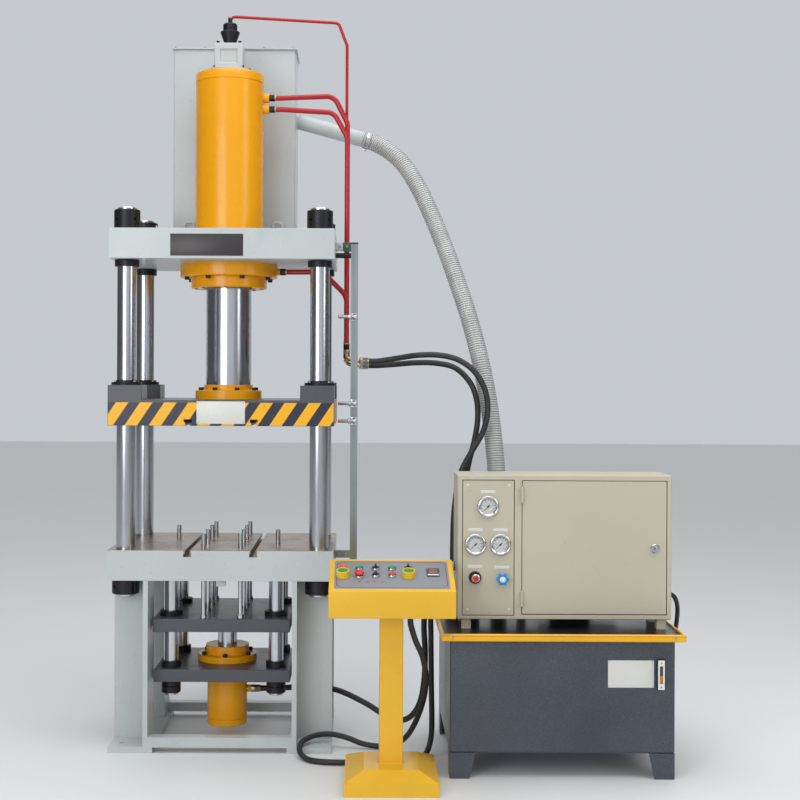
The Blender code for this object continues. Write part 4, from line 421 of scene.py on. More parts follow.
def black_oxide():
    surface = Finish("black oxide steel", srgb(46, 46, 50), 0.42, 0.75)
    wear = surface.noise(42, 5, 0.7)
    surface.tint(wear.ramp(0.60, 0.72) * 0.5, srgb(104, 100, 96))
    surface.set("Roughness", wear * 0.20 + 0.34)
    surface.raise_by(surface.noise(260, 2), 0.00006)
    return surface


def plastic(name, color, roughness=0.28, **fixed):
    """Moulded plastic with a trace of grain, rubbed duller where fingers touch it."""
    moulded = Finish(name, color, roughness, **fixed)
    rub = moulded.noise(120, 3)
    moulded.tint(rub.ramp(0.55, 0.80) * 0.25, shade(color, 0.6))
    moulded.set("Roughness", rub * 0.12 + (roughness - 0.04))
    moulded.raise_by(moulded.noise(700, 1), 0.00003)
    return moulded


def hose_rubber(name="hose rubber", color=srgb(30, 30, 32), pitch=0.0035, relief=0.00012):
    """A black cover: the wrap shows as fine slanting ribs, and dust lies on it."""
    rubber = Finish(name, color, 0.5)
    reach, around = rubber.along()
    dust = rubber.noise(24, 4)
    rubber.tint(dust.ramp(0.50, 0.72) * 0.4, srgb(70, 68, 66))
    rubber.set("Roughness", dust * 0.22 + 0.42)
    rubber.raise_by(((reach / pitch + around) * math.tau).sine() * 0.5 + 0.5, relief)
    return rubber


SPIRAL_PITCH = 0.0115


def clear_hose():
    """Clear suction hose: a milky wall round a steel spiral that shows as close grey lines."""
    wall = Finish("clear spiral hose", srgb(206, 210, 208), 0.16, Transmission_Weight=0.3, IOR=1.45)
    reach, around = wall.along()
    turn = (reach / SPIRAL_PITCH + around).fraction()
    smear = wall.noise(11, 4)
    wall.tint(smear.ramp(0.42, 0.70) * 0.4, srgb(166, 168, 160))
    wall.tint((abs(turn - 0.5) < 0.17) * 0.8, srgb(112, 117, 120))
    wall.set("Roughness", smear * 0.16 + 0.12)
    wall.raise_by((turn * math.tau).sine() * 0.5 + 0.5, 0.0007)
    return wall


def dial_glass():
    pane = Finish("dial glass", (1, 1, 1), 0.03, Transmission_Weight=1.0, IOR=1.45, Alpha=0.25)
    pane.set("Roughness", pane.noise(60, 3) * 0.04 + 0.01)
    return pane


def tray_paint():
    """Yellow rim and outside, and a black floor wet with oil."""
    paint = painted("yellow drip tray with black floor", srgb(240, 176, 22), 0.34, 0.3)
    x, y, z = paint.axes(origin=(PRESS_X, PRESS_Y, 0))
    floor = (abs(z - TRAY_FLOOR) < 0.0006).larger(z > TRAY_RIM + 0.003)
    paint.tint(floor, srgb(30, 30, 33))
    paint.set("Roughness", paint.noise(6, 4) * 0.2 + 0.22)
    return paint


def dial_face(name, x, z):
    """A pale dial with black ticks round three quarters of a turn."""
    face = Finish(name, srgb(212, 213, 212), 0.35)
    right, _, up = face.axes(origin=(x + PRESS_X, 0, z))
    out = (right * right + up * up).root()
    angle = right.angle_with(up)
    sweep, edge = math.radians(135), DIAL_SCALE
    on_scale = abs(angle) < sweep + 0.01
    for divisions, width, inner in ((10, 0.0009, edge - 0.009), (50, 0.0004, edge - 0.006)):
        step = 2 * sweep / divisions
        tick = (abs(((angle + sweep) / step + 0.5).fraction() - 0.5) * step * out) < width
        face.tint(tick * on_scale * (out > inner) * (out < edge - 0.002), srgb(24, 24, 26))
    face.tint(face.noise(40, 3).ramp(0.5, 0.8) * 0.15, srgb(196, 192, 178))
    return face


def pale_floor():
    ground = Finish("pale floor", srgb(222, 224, 225), 0.6)
    ground.set("Roughness", ground.noise(2, 2) * 0.1 + 0.55)
    return ground


CHROME_GRAIN = (1, 1, 60)
MATERIALS = {
    "grey paint": painted("grey machine paint", GREY),
    "orange paint": painted("orange cylinder paint", ORANGE, 0.26, 0.22),
    "console paint": painted("yellow console paint", YELLOW, 0.34, 0.25),
    "dark paint": painted("dark grey paint", DARK_GREY, 0.38, 0.4),
    "striped paint": striped_slide_paint(),
    "hammered paint": hammered_paint(),
    "powder coat": powder_coat(),
    "red paint": painted("red pipe paint", PIPE_RED, 0.28, 0.3, 0.00008),
    "tray paint": tray_paint(),
    "table": table_finish(),
    "chrome": metal("ground chrome", srgb(198, 201, 206), 0.16, CHROME_GRAIN),
    "polished": metal("polished trim", srgb(205, 206, 208), 0.14, (1, 1, 1), 0.2),
    "zinc": metal("zinc plate", srgb(186, 182, 170), 0.30, (6, 6, 6), 0.35),
    "brass": metal("brass", srgb(190, 166, 118), 0.30, (6, 6, 6), 0.5),
    "aluminium": metal("anodised rail", srgb(150, 156, 158), 0.40, (14, 14, 0.3), 0.3),
    "black oxide": black_oxide(),
    "rubber": hose_rubber(),
    "cable": hose_rubber("cable sheath", srgb(34, 34, 36), 0.0009, 0.00004),
    "clear hose": clear_hose(),
    "glass": dial_glass(),
    "red plastic": plastic("red plastic", srgb(206, 28, 26)),
    "orange plastic": plastic("orange lamp plastic", srgb(236, 84, 24)),
    "green plastic": plastic("green plastic", srgb(22, 138, 88)),
    "teal plastic": plastic("dark teal plastic", srgb(40, 92, 80), 0.4),
    "blue plastic": plastic("blue plastic", srgb(26, 136, 210)),
    "yellow plastic": plastic("yellow plastic", srgb(244, 200, 30)),
    "white plastic": plastic("white plastic", srgb(226, 226, 220)),
    "black plastic": plastic("black plastic", srgb(28, 28, 30), 0.34),
    "dark plastic": plastic("dark grey plastic", srgb(64, 64, 68), 0.4),
    "mid plastic": plastic("mid grey plastic", srgb(112, 116, 120), 0.4),
    "amber": plastic("amber sight glass", srgb(206, 138, 40), 0.1, Transmission_Weight=0.2),
    "grey panel": plastic("light grey panel", srgb(130, 134, 138), 0.4),
    "maroon": plastic("maroon line", srgb(112, 38, 44), 0.4),
    "plate white": plastic("bare white plate", srgb(214, 214, 208), 0.35),
    "plate dark": plastic("bare dark plate", srgb(52, 48, 50), 0.35),
    "floor": pale_floor(),
    **{f"dial {place}": dial_face(f"dial face {place}", x, z) for place, (x, z) in DIALS.items()},
}


# Modelling


def only(*pieces):
    """Selects these pieces and nothing else, with the first as the active one."""
    bpy.ops.object.select_all(action="DESELECT")
    for piece in pieces:
        piece.select_set(True)
    bpy.context.view_layer.objects.active = pieces[0]


def reworked(piece, angle=32):
    """Applies the piece's modifiers and its place, and shades its round faces smooth."""
    only(piece)
    for modifier in list(piece.modifiers):
        bpy.ops.object.modifier_apply(modifier=modifier.name)
    bpy.ops.object.transform_apply(location=True, rotation=True, scale=True)
    bpy.ops.object.shade_smooth_by_angle(angle=math.radians(angle))
    return piece


def placed(piece, name, where, angle=32):
    """Names a piece that was modelled about its own origin and sets it in its frame."""
    piece.name = piece.data.name = name
    piece.matrix_basis = where @ piece.matrix_basis
    return reworked(piece, angle)


def bevelled(piece, width, segments=2, angle=32):
    bevel = piece.modifiers.new("edges", "BEVEL")
    bevel.width, bevel.segments = width, segments
    bevel.limit_method, bevel.angle_limit = "ANGLE", math.radians(angle)
    return piece


def block(name, low, high, edge=0.0015, segments=2, where=PRESS):
    """A box between two corners with rounded edges."""
    low, high = Vector(low), Vector(high)
    bpy.ops.object.select_all(action="DESELECT")
    bpy.ops.mesh.primitive_cube_add(size=1, location=(low + high) / 2)
    piece = bpy.context.object
    piece.scale = high - low
    bpy.ops.object.transform_apply(location=False, rotation=False, scale=True)
    if edge:
        bevelled(piece, edge, segments)
    return placed(piece, name, where)


def bar(name, radius, start, end, sides=48, edge=0.0, end_radius=None, where=PRESS):
    """A round bar, a cone or, with six sides, a hexagonal bar between two places."""
    start, end = Vector(start), Vector(end)
    bpy.ops.object.select_all(action="DESELECT")
    bpy.ops.mesh.primitive_cone_add(
        vertices=sides, radius1=radius, radius2=radius if end_radius is None else end_radius,
        depth=(end - start).length, location=(start + end) / 2,
        rotation=(end - start).to_track_quat("Z", "Y").to_euler(),
    )
    piece = bpy.context.object
    if edge:
        bevelled(piece, edge)
    return placed(piece, name, where)


def lathe(name, outline, where=PRESS, sides=64, angle=32):
    """A turned piece: a point drawn out along (radius, height) places, then spun about the frame's Z."""
    bpy.ops.object.select_all(action="DESELECT")
    bpy.ops.mesh.primitive_plane_add(size=0.001)
    piece = bpy.context.object
    bpy.ops.object.mode_set(mode="EDIT")
    bpy.ops.mesh.merge(type="CENTER")
    bpy.ops.transform.translate(value=(outline[0][0], 0, outline[0][1]))
    for (near, low), (far, high) in zip(outline, outline[1:]):
        bpy.ops.mesh.extrude_region_move(TRANSFORM_OT_translate={"value": (far - near, 0, high - low)})
    bpy.ops.mesh.select_all(action="SELECT")
    bpy.ops.mesh.spin(steps=sides, angle=math.tau, center=(0, 0, 0), axis=(0, 0, 1))
    bpy.ops.mesh.select_all(action="SELECT")
    bpy.ops.mesh.remove_doubles(threshold=0.000005)
    bpy.ops.mesh.normals_make_consistent(inside=False)
    bpy.ops.object.mode_set(mode="OBJECT")
    return placed(piece, name, where, angle)


def joined(name, pieces):
    """Several pieces as one object."""
    only(*pieces)
    if len(pieces) > 1:
        bpy.ops.object.join()
    pieces[0].name = pieces[0].data.name = name
    return pieces[0]


def cut(piece, *cutters, edge=0.0):
    """Takes the cutters out of a piece, then rounds the new edges."""
    for cutter in cutters:
        hole = piece.modifiers.new("hole", "BOOLEAN")
        hole.operation, hole.solver, hole.object = "DIFFERENCE", "EXACT", cutter
    reworked(piece)
    for cutter in cutters:
        bpy.data.objects.remove(cutter, do_unlink=True)
    return reworked(bevelled(piece, edge)) if edge else piece


def spread(name, model, frames):
    """Copies of one modelled piece in several frames, as one object. The model itself goes."""
    copies = []
    for where in frames:
        mesh = model.data.copy()
        mesh.transform(where)
        copy = bpy.data.objects.new(name, mesh)
        bpy.context.scene.collection.objects.link(copy)
        copies.append(copy)
    bpy.data.objects.remove(model, do_unlink=True)
    return joined(name, copies)


def circle(count, radius, first=0.5):
    """Places at even steps round a circle. The first stands this share of a step on."""
    turns = [math.tau * (index + first) / count for index in range(count)]
    return [(radius * math.cos(turn), radius * math.sin(turn)) for turn in turns]


def around(centre, radius, count, axis=(0, 0, 1), first=0.5):
    """Frames at even steps round a circle, which all look along its axis."""
    x, y, z = centre
    frames = []
    for across, up in circle(count, radius, first):
        if axis[0]:
            place = (x, y + across, z + up)
        elif axis[1]:
            place = (x + across, y, z + up)
        else:
            place = (x + across, y + up, z)
        frames.append(facing(*place, axis))
    return frames


def socket_head(radius, height=None):
    """A socket-head screw's head, with its hexagonal recess."""
    height = height or radius * 1.3
    head = bar("head", radius, (0, 0, 0), (0, 0, height), 32, radius * 0.09, where=HERE)
    recess = bar("recess", radius * 0.58, (0, 0, height * 0.45), (0, 0, height * 1.5), 6, where=HERE)
    return cut(head, recess)


def hex_head(radius, height=None, washer=True):
    """A hexagon head or nut on its washer."""
    height = height or radius * 0.66
    base = radius * 0.16 if washer else 0.0
    pieces = [bar("head", radius, (0, 0, base), (0, 0, base + height), 6, radius * 0.07, where=HERE)]
    if washer:
        pieces.append(bar("washer", radius * 1.12, (0, 0, 0), (0, 0, base), 32, base * 0.3, where=HERE))
    return joined("head", pieces)


def slotted_head(radius):
    """A round screw head with a cross recess."""
    head = lathe("head", [(0, radius * 0.5), (radius * 0.5, radius * 0.46), (radius * 0.9, radius * 0.25),
                          (radius, 0), (0, 0)],
                 HERE, 24)
    reach, half = radius * 0.6, radius * 0.09
    across = block("across", (-reach, -half, radius * 0.2), (reach, half, radius), 0, where=HERE)
    upward = block("upward", (-half, -reach, radius * 0.2), (half, reach, radius), 0, where=HERE)
    return cut(head, across, upward)


def dress(piece, material, body="press_frame", replaces=()):
    """Gives a finished piece its material and the body that it rides on."""
    piece.data.materials.clear()
    piece.data.materials.append(MATERIALS[material].material)
    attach(piece, body)
    if replaces:
        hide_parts(*replaces)
    return piece


def paint_node(name, material):
    """A new finish on a solid of the frame that is shown as it is."""
    mesh = NODES[name].data
    for index in range(len(mesh.materials)):
        mesh.materials[index] = MATERIALS[material].material


def smooth_route(points, spacing):
    """Even points on a smooth curve through the given ones, whose first and last legs stay straight."""
    points = [Vector(p) for p in points]
    fine = [points[0]]
    for a, b, c, d in zip(points, points[1:], points[2:], points[3:]):
        for step in range(40):
            t = step / 40
            fine.append(
                0.5 * ((2 * b) + (c - a) * t + (2 * a - 5 * b + 4 * c - d) * t**2
                       + (3 * b - a - 3 * c + d) * t**3)
            )
    fine += points[-2:]
    return even(fine, spacing)


def even(line, spacing):
    """Points at an even spacing along a line of points."""
    reach = [0.0]
    for a, b in zip(line, line[1:]):
        reach.append(reach[-1] + (b - a).length)
    count = max(2, round(reach[-1] / spacing))
    route, place = [], 0
    for step in range(count + 1):
        want = reach[-1] * step / count
        while place < len(reach) - 2 and reach[place + 1] < want:
            place += 1
        share = (want - reach[place]) / max(reach[place + 1] - reach[place], 1e-9)
        route.append(line[place].lerp(line[place + 1], min(share, 1.0)))
    return route


def bent_route(corners, radius, steps=12):
    """A pipe's centre line: straight runs between corners, with a bend of one radius at each."""
    corners = [Vector(c) for c in corners]
    route = [corners[0]]
    for before, corner, after in zip(corners, corners[1:], corners[2:]):
        into, out = (before - corner).normalized(), (after - corner).normalized()
        half = into.angle(out) / 2
        middle = corner + (into + out).normalized() * radius / math.sin(half)
        first = corner + into * radius / math.tan(half) - middle
        last = corner + out * radius / math.tan(half) - middle
        for step in range(steps + 1):
            arm = first.slerp(last, step / steps)
            route.append(middle + arm * radius / arm.length)
    route.append(corners[-1])
    return route


def length_of(route):
    return sum((b - a).length for a, b in zip(route, route[1:]))


def tube(name, route, radius, sides=24, ripple=None, where=PRESS):
    """A round tube along a route, as a curve turned into a mesh. ripple(metres) scales its radius."""
    curve = bpy.data.curves.new(name, "CURVE")
    curve.dimensions = "3D"
    curve.bevel_depth = radius
    curve.bevel_resolution = (sides - 4) // 2
    curve.use_fill_caps = True
    spline = curve.splines.new("POLY")
    spline.points.add(len(route) - 1)
    length = length_of(route)
    for index, (point, place) in enumerate(zip(spline.points, route)):
        point.co = (*place, 1)
        point.radius = ripple(length * index / (len(route) - 1)) if ripple else 1.0
    piece = bpy.data.objects.new(name, curve)
    bpy.context.scene.collection.objects.link(piece)
    only(piece)
    bpy.ops.object.convert(target="MESH")
    piece = bpy.context.object
    for corner in piece.data.uv_layers["UVMap"].data:
        corner.uv = (corner.uv[0] * length, corner.uv[1])
    return placed(piece, name, where, 50)


# Hoses and cables


STUB_WAY = Vector((math.cos(STUB_SLOPE), 0, -math.sin(STUB_SLOPE)))
STUB_END = Vector(STUB_FOOT) + STUB_LENGTH * STUB_WAY

SUCTION_ROUTE = [
    STUB_END + CLEAR * STUB_WAY, STUB_END + (CLEAR + 0.045) * STUB_WAY, (0.775, 0.345, 2.860),
    (0.852, 0.305, 2.780), (0.932, 0.250, 2.640), (1.020, 0.170, 2.425), (1.092, 0.090, 2.215),
    (1.160, 0.020, 1.992), (1.217, -0.045, 1.750), (1.255, -0.095, 1.510), (1.277, -0.130, 1.275),
    (1.285, -0.148, 1.060), (SPIGOT_X, SPIGOT_Y, 0.880), (SPIGOT_X, SPIGOT_Y, 0.800),
    (SPIGOT_X, SPIGOT_Y, SPIGOT_TOP + CLEAR),
]
(FIRST_X, FIRST_Y), (SECOND_X, SECOND_Y) = HOSE_PORTS
UPPER_ROUTE = [
    (COUPLING_X + CLEAR, -0.030, COUPLING_Z), (COUPLING_X + 0.040, -0.030, COUPLING_Z),
    (0.800, -0.050, 1.803), (0.900, -0.100, 1.818), (1.000, -0.130, 1.819), (1.090, -0.155, 1.798),
    (1.165, -0.175, 1.745), (1.215, -0.190, 1.660), (1.228, -0.200, 1.560), (1.205, -0.210, 1.460),
    (1.150, -0.222, 1.365), (1.098, -0.234, 1.260), (FIRST_X + 0.006, FIRST_Y, 1.100),
    (FIRST_X, FIRST_Y, 0.940), (FIRST_X, FIRST_Y, 0.850), (FIRST_X, FIRST_Y, PORT_TOP + CLEAR),
]
LOWER_ROUTE = [
    (COUPLING_X + CLEAR, 0.030, COUPLING_Z - 0.020), (COUPLING_X + 0.040, 0.030, COUPLING_Z - 0.020),
    (0.800, 0.010, 1.776), (0.900, -0.030, 1.784), (1.000, -0.068, 1.781), (1.085, -0.100, 1.758),
    (1.150, -0.150, 1.690), (1.180, -0.160, 1.610), (1.185, -0.165, 1.520), (1.170, -0.168, 1.420),
    (1.145, -0.170, 1.320), (1.122, -0.172, 1.200), (SECOND_X + 0.004, SECOND_Y, 1.060),
    (SECOND_X, SECOND_Y, 0.930), (SECOND_X, SECOND_Y, 0.850), (SECOND_X, SECOND_Y, PORT_TOP + CLEAR),
]
EJECTOR_ROUTE = [
    (EJECT_CYL_R + 0.020 + CLEAR, 0, 0.215), (0.165, 0, 0.215), (0.260, 0, 0.217), (0.380, 0, 0.222),
    (0.520, -0.010, 0.212), (0.660, -0.030, 0.155), (0.780, -0.060, 0.090), (0.860, -0.100, 0.095),
    (0.915, -0.140, 0.170), (0.938, -0.170, 0.290), (0.942, -0.185, 0.430), (0.936, -0.190, 0.550),
    (0.944, -0.190, 0.632), (0.975, -0.190, 0.676), (0.991, -0.190, 0.686),
    (SIDE_PORT[0] - CLEAR, -0.190, 0.686),
]
CONSOLE_ROUTE = [
    CABLE_EXIT, (0.850, -0.800, 0.6767), (0.872, -0.772, 0.600), (0.908, -0.725, 0.510),
    (0.924, -0.650, 0.400), (0.915, -0.565, 0.290), (0.888, -0.470, 0.178), (0.850, -0.385, 0.088),
    (0.800, -0.320, 0.036), (0.730, -0.285, 0.016), (0.650, -0.272, 0.024), (0.580, -0.262, 0.048),
    (0.510, -0.262, 0.064), (0.445, -0.275, 0.064), (0.395, -0.315, 0.056), (0.368, -0.372, 0.044),
    (0.372, -0.435, 0.026), (0.405, -0.492, CABLE_Z), (0.460, -0.528, CABLE_Z), (0.530, -0.540, CABLE_Z),
    (0.620, -0.540, CABLE_Z), (0.720, -0.538, CABLE_Z), (0.810, -0.528, CABLE_Z), (0.880, -0.500, CABLE_Z),
    (0.932, -0.448, 0.024), (0.960, -0.390, 0.080), (0.966, -0.352, 0.160), (0.965, -0.336, 0.260),
    (0.963, -0.332, 0.400), (0.961, -0.336, 0.540), (0.958, -0.350, 0.660), (0.955, -0.380, 0.765),
    (0.965, -0.420, 0.838), (0.990, -0.444, 0.866), (1.0214, -0.450, 0.870), (1.0474, -0.450, 0.870),
]
POWER_ROUTE = [
    (2.0083, -0.450, 0.750), (2.0223, -0.450, 0.750), (2.047, -0.445, 0.732), (2.063, -0.430, 0.685),
    (2.066, -0.400, 0.610), (2.062, -0.360, 0.530), (2.050, -0.325, 0.460), (2.030, -0.302, 0.424),
    (2.0118, -0.300, 0.420), (1.9978, -0.300, 0.420),
]


def cord(node, points, radius, material, sides=20, spacing=0.012, ripple=None):
    """A free hose or cable that leaves the machine and goes back into it."""
    route = smooth_route(points, spacing)
    piece = tube(node + "_run", route, radius, sides, ripple)
    dress(piece, material, replaces=(node,))
    path = [PRESS @ point for point in even(route, radius * 2)]
    PRESS @ route[0]
    length_of(route)
    return route


def ferrule(name, place, axis, radius, nut):
    """A hose's crimped steel sleeve and its swivel nut, seated at a port and running up the hose."""
    length = radius * 3.4
    grooves = [(radius + 0.004 + 0.0008 * math.cos(step * math.pi), length * (0.42 + 0.055 * step))
               for step in range(9)]
    outline = [(0, length * 0.36), (radius + 0.002, length * 0.36), *grooves, (radius + 0.0012, length),
               (0, length)]
    sleeve = lathe(name, outline, facing(*place, axis), 32, 20)
    along = Vector(axis).normalized()
    place = Vector(place)
    swivel = bar("swivel", nut, place, place + along * length * 0.37, 6, 0.0012)
    return dress(joined(name, [sleeve, swivel]), "zinc")


def hoses():
    def ribs(reach):
        return 1 + 0.010 * math.cos(math.tau * reach / SPIRAL_PITCH)

    cord("suction_hose", SUCTION_ROUTE, SUCTION_R, "clear hose", 32, SPIRAL_PITCH / 5, ribs)
    cord("pressure_hose_upper", UPPER_ROUTE, PRESSURE_R, "rubber")
    cord("pressure_hose_lower", LOWER_ROUTE, PRESSURE_R, "rubber")
    cord("ejector_hose", EJECTOR_ROUTE, PRESSURE_R, "rubber")
    cord("console_cable", CONSOLE_ROUTE, CABLE_R, "cable")
    cord("cabinet_cable", POWER_ROUTE, POWER_CABLE_R, "cable")


def hose_ends():
    """Crimped sleeves where the pressure hoses leave their ports, and clamps on the big hose."""
    for name, place, axis in (
        ("coupling_upper", (COUPLING_X - 0.044, -0.030, COUPLING_Z), (1, 0, 0)),
        ("coupling_lower", (COUPLING_X - 0.044, 0.030, COUPLING_Z - 0.020), (1, 0, 0)),
        ("block_end_first", (FIRST_X, FIRST_Y, PORT_TOP + CLEAR), (0, 0, 1)),
        ("block_end_second", (SECOND_X, SECOND_Y, PORT_TOP + CLEAR), (0, 0, 1)),
        ("ejector_end", (EJECT_CYL_R + 0.020 + CLEAR, 0, 0.215), (1, 0, 0)),
        ("block_end_side", (SIDE_PORT[0] - CLEAR, SIDE_PORT[1], SIDE_PORT[2]), (-1, 0, 0)),
    ):
        ferrule(name, place, axis, PRESSURE_R, 0.0185)
    hose_clamp("stub_clamp", STUB_END + 0.020 * STUB_WAY, STUB_WAY)
    hose_clamp("spigot_clamp", (SPIGOT_X, SPIGOT_Y, SPIGOT_TOP + 0.020), (0, 0, 1))


def hose_clamp(name, place, axis):
    """A worm-drive band with its screw housing."""
    where = facing(*place, axis)
    radius = SUCTION_R + 0.0006
    band = lathe(name, [(radius, -0.006), (radius + 0.0012, -0.006), (radius + 0.0012, 0.006),
                        (radius, 0.006), (radius, -0.006)], where, 64)
    housing = block("housing", (-0.008, -radius - 0.010, -0.0065), (0.008, -radius - 0.0005, 0.0065), 0.001,
                    where=where)
    screw = bar("screw", 0.0035, (-0.013, -radius - 0.006, 0), (0.012, -radius - 0.006, 0), 24, 0.0005,
                where=where)
    return dress(joined(name, [band, housing, screw]), "polished")


# Frame, columns and plates


def plate(name, bottom, top):
    return block(name, (-SIDE, FRONT, bottom), (SIDE, -FRONT, top), 0)


def column_places():
    for front, y in (("front", -COLUMN_Y), ("rear", COLUMN_Y)):
        for side, x in (("left", -COLUMN_X), ("right", COLUMN_X)):
            yield f"column_{front}_{side}", x, y


def column_holes(low, high, radius=COLUMN_R + 0.0004):
    return [bar("bore", radius, (x, y, low - 0.01), (x, y, high + 0.01), 64) for _, x, y in column_places()]


def slot_cutters(face, inward):
    """Cutters for the two T-slots under a face: each a neck and a wider head along the whole depth."""
    pieces = []
    for x in (-SLOT_X, SLOT_X):
        for half, near, far in ((SLOT_NECK / 2, -0.01, SLOT_NECK_DEPTH + 0.001),
                                (SLOT_HEAD / 2, SLOT_NECK_DEPTH, SLOT_DEPTH)):
            low, high = sorted((face + inward * near, face + inward * far))
            pieces.append(block("slot", (x - half, FRONT - 0.01, low), (x + half, -FRONT + 0.01, high), 0))
    return pieces


def spanner_nut(name, place, radius, low, high, slots=4):
    """A round nut with a bore for the column and spanner slots round its rim."""
    x, y = place
    middle = facing(x, y, 0)
    outline = [(COLUMN_R, high), (radius - 0.003, high), (radius, high - 0.003), (radius, low + 0.003),
               (radius - 0.003, low), (COLUMN_R, low), (COLUMN_R, high)]
    nut = lathe(name, outline, middle)
    cutters = []
    for index in range(slots):
        turn = Matrix.Rotation(math.tau * (index + 0.5) / slots, 4, "Z")
        z = (low + high) / 2
        cutters.append(bar("spanner_hole", 0.0065, (radius - 0.010, 0, z), (radius + 0.01, 0, z), 24,
                           where=middle @ turn))
    return cut(nut, *cutters) if slots else nut


def column(name, x, y):
    """Chrome shaft, foot nut, collar under the crown and top nut."""
    foot = TABLE_BOTTOM - CLEAR - 0.070 - COLUMN_END
    top = CROWN_TOP + CLEAR + 0.090 + COLUMN_END
    outline = [(0, top), (0.006, top), (0.008, top - 0.004), (0.012, top), (COLUMN_R - 0.005, top),
               (COLUMN_R, top - 0.005), (COLUMN_R, foot + 0.003), (COLUMN_R - 0.003, foot), (0, foot)]
    shaft = dress(lathe(name + "_shaft", outline, facing(x, y, 0), 96), "chrome",
                  replaces=(name,))
    seat = TABLE_BOTTOM - CLEAR
    nuts = [
        spanner_nut("foot_nut", (x, y), 0.0625, seat - 0.070, seat),
        spanner_nut("crown_collar", (x, y), 0.056, CROWN_BOTTOM - CLEAR - 0.031, CROWN_BOTTOM - CLEAR, 0),
        spanner_nut("top_nut", (x, y), 0.060, CROWN_TOP + CLEAR, CROWN_TOP + CLEAR + 0.090),
    ]
    dress(joined(name + "_nuts", nuts), "black oxide")
    return shaft


def crown():
    """The crown plate with its gusset and bare dark name plate."""
    made = cut(plate("crown_plate", CROWN_BOTTOM, CROWN_TOP), *column_holes(CROWN_BOTTOM, CROWN_TOP),
               bar("bore", CYL_R + CLEAR, (0, 0, CROWN_BOTTOM - 0.01), (0, 0, CROWN_TOP + 0.01), 96),
               edge=0.003)
    gusset = block("gusset", (-0.361, 0.044, CROWN_TOP - 0.001), (-0.299, 0.056, CROWN_TOP + 0.058), 0)
    slope = block("slope", (0, -0.02, 0), (0.10, 0.02, 0.10), 0,
                  where=PRESS @ Matrix.Translation((-0.361, 0.05, CROWN_TOP + 0.058))
                  @ Matrix.Rotation(math.radians(43), 4, "Y"))
    gusset = cut(gusset, slope, edge=0.001)
    dress(joined("crown_body", [made, gusset]), "grey paint", replaces=("crown",))
    name_plate = block("crown_name_plate", (-0.2325, FRONT - 0.0015, 2.262), (0.0985, FRONT + 0.0005, 2.362),
                       0.0005)
    dress(name_plate, "plate dark")


def lifting_eyes():
    """Two loops of round bar, each welded to the crown at both feet."""
    for side, sx in (("left", -1), ("right", 1)):
        x0, x1 = sx * EYE_X - EYE_W / 2, sx * EYE_X + EYE_W / 2
        foot, top = CROWN_TOP + CLEAR, CROWN_TOP + EYE_H
        corners = [(x0, EYE_Y, foot), (x0, EYE_Y, top), (x1, EYE_Y, top), (x1, EYE_Y, foot)]
        loop = tube(f"lifting_eye_{side}_loop", bent_route(corners, EYE_BEND), EYE_R, 20)
        bead = [(EYE_R - 0.001, 0.006), (EYE_R + 0.001, 0.0055), (EYE_R + 0.005, 0.0005),
                (EYE_R - 0.001, 0.0005), (EYE_R - 0.001, 0.006)]
        welds = [lathe("weld", bead, facing(x, EYE_Y, CROWN_TOP), 32) for x in (x0, x1)]
        dress(joined(f"lifting_eye_{side}_loop", [loop, *welds]), "grey paint",
              replaces=(f"lifting_eye_{side}",))


def table():
    holes = [bar("pin_hole", 0.0125, (x, y, TABLE_BOTTOM - 0.01), (x, y, TABLE_TOP + 0.01), 32) for x,
             y in pin_places()]
    made = cut(plate("table_plate", TABLE_BOTTOM, TABLE_TOP), *column_holes(TABLE_BOTTOM, TABLE_TOP), *holes,
               *slot_cutters(TABLE_TOP, -1), edge=0.0025)
    lug = block("front_lug", (-0.022, FRONT + 0.030, TABLE_BOTTOM - 0.029),
                (0.022, FRONT + 0.060, TABLE_BOTTOM + 0.001))
    dress(joined("table_body", [made, lug]), "table", replaces=("table",))


def pin_places():
    for y in PIN_ROWS:
        for x in (-PIN_X, PIN_X):
            yield x, y
    yield -0.247, 0.090
    yield 0.247, -0.090


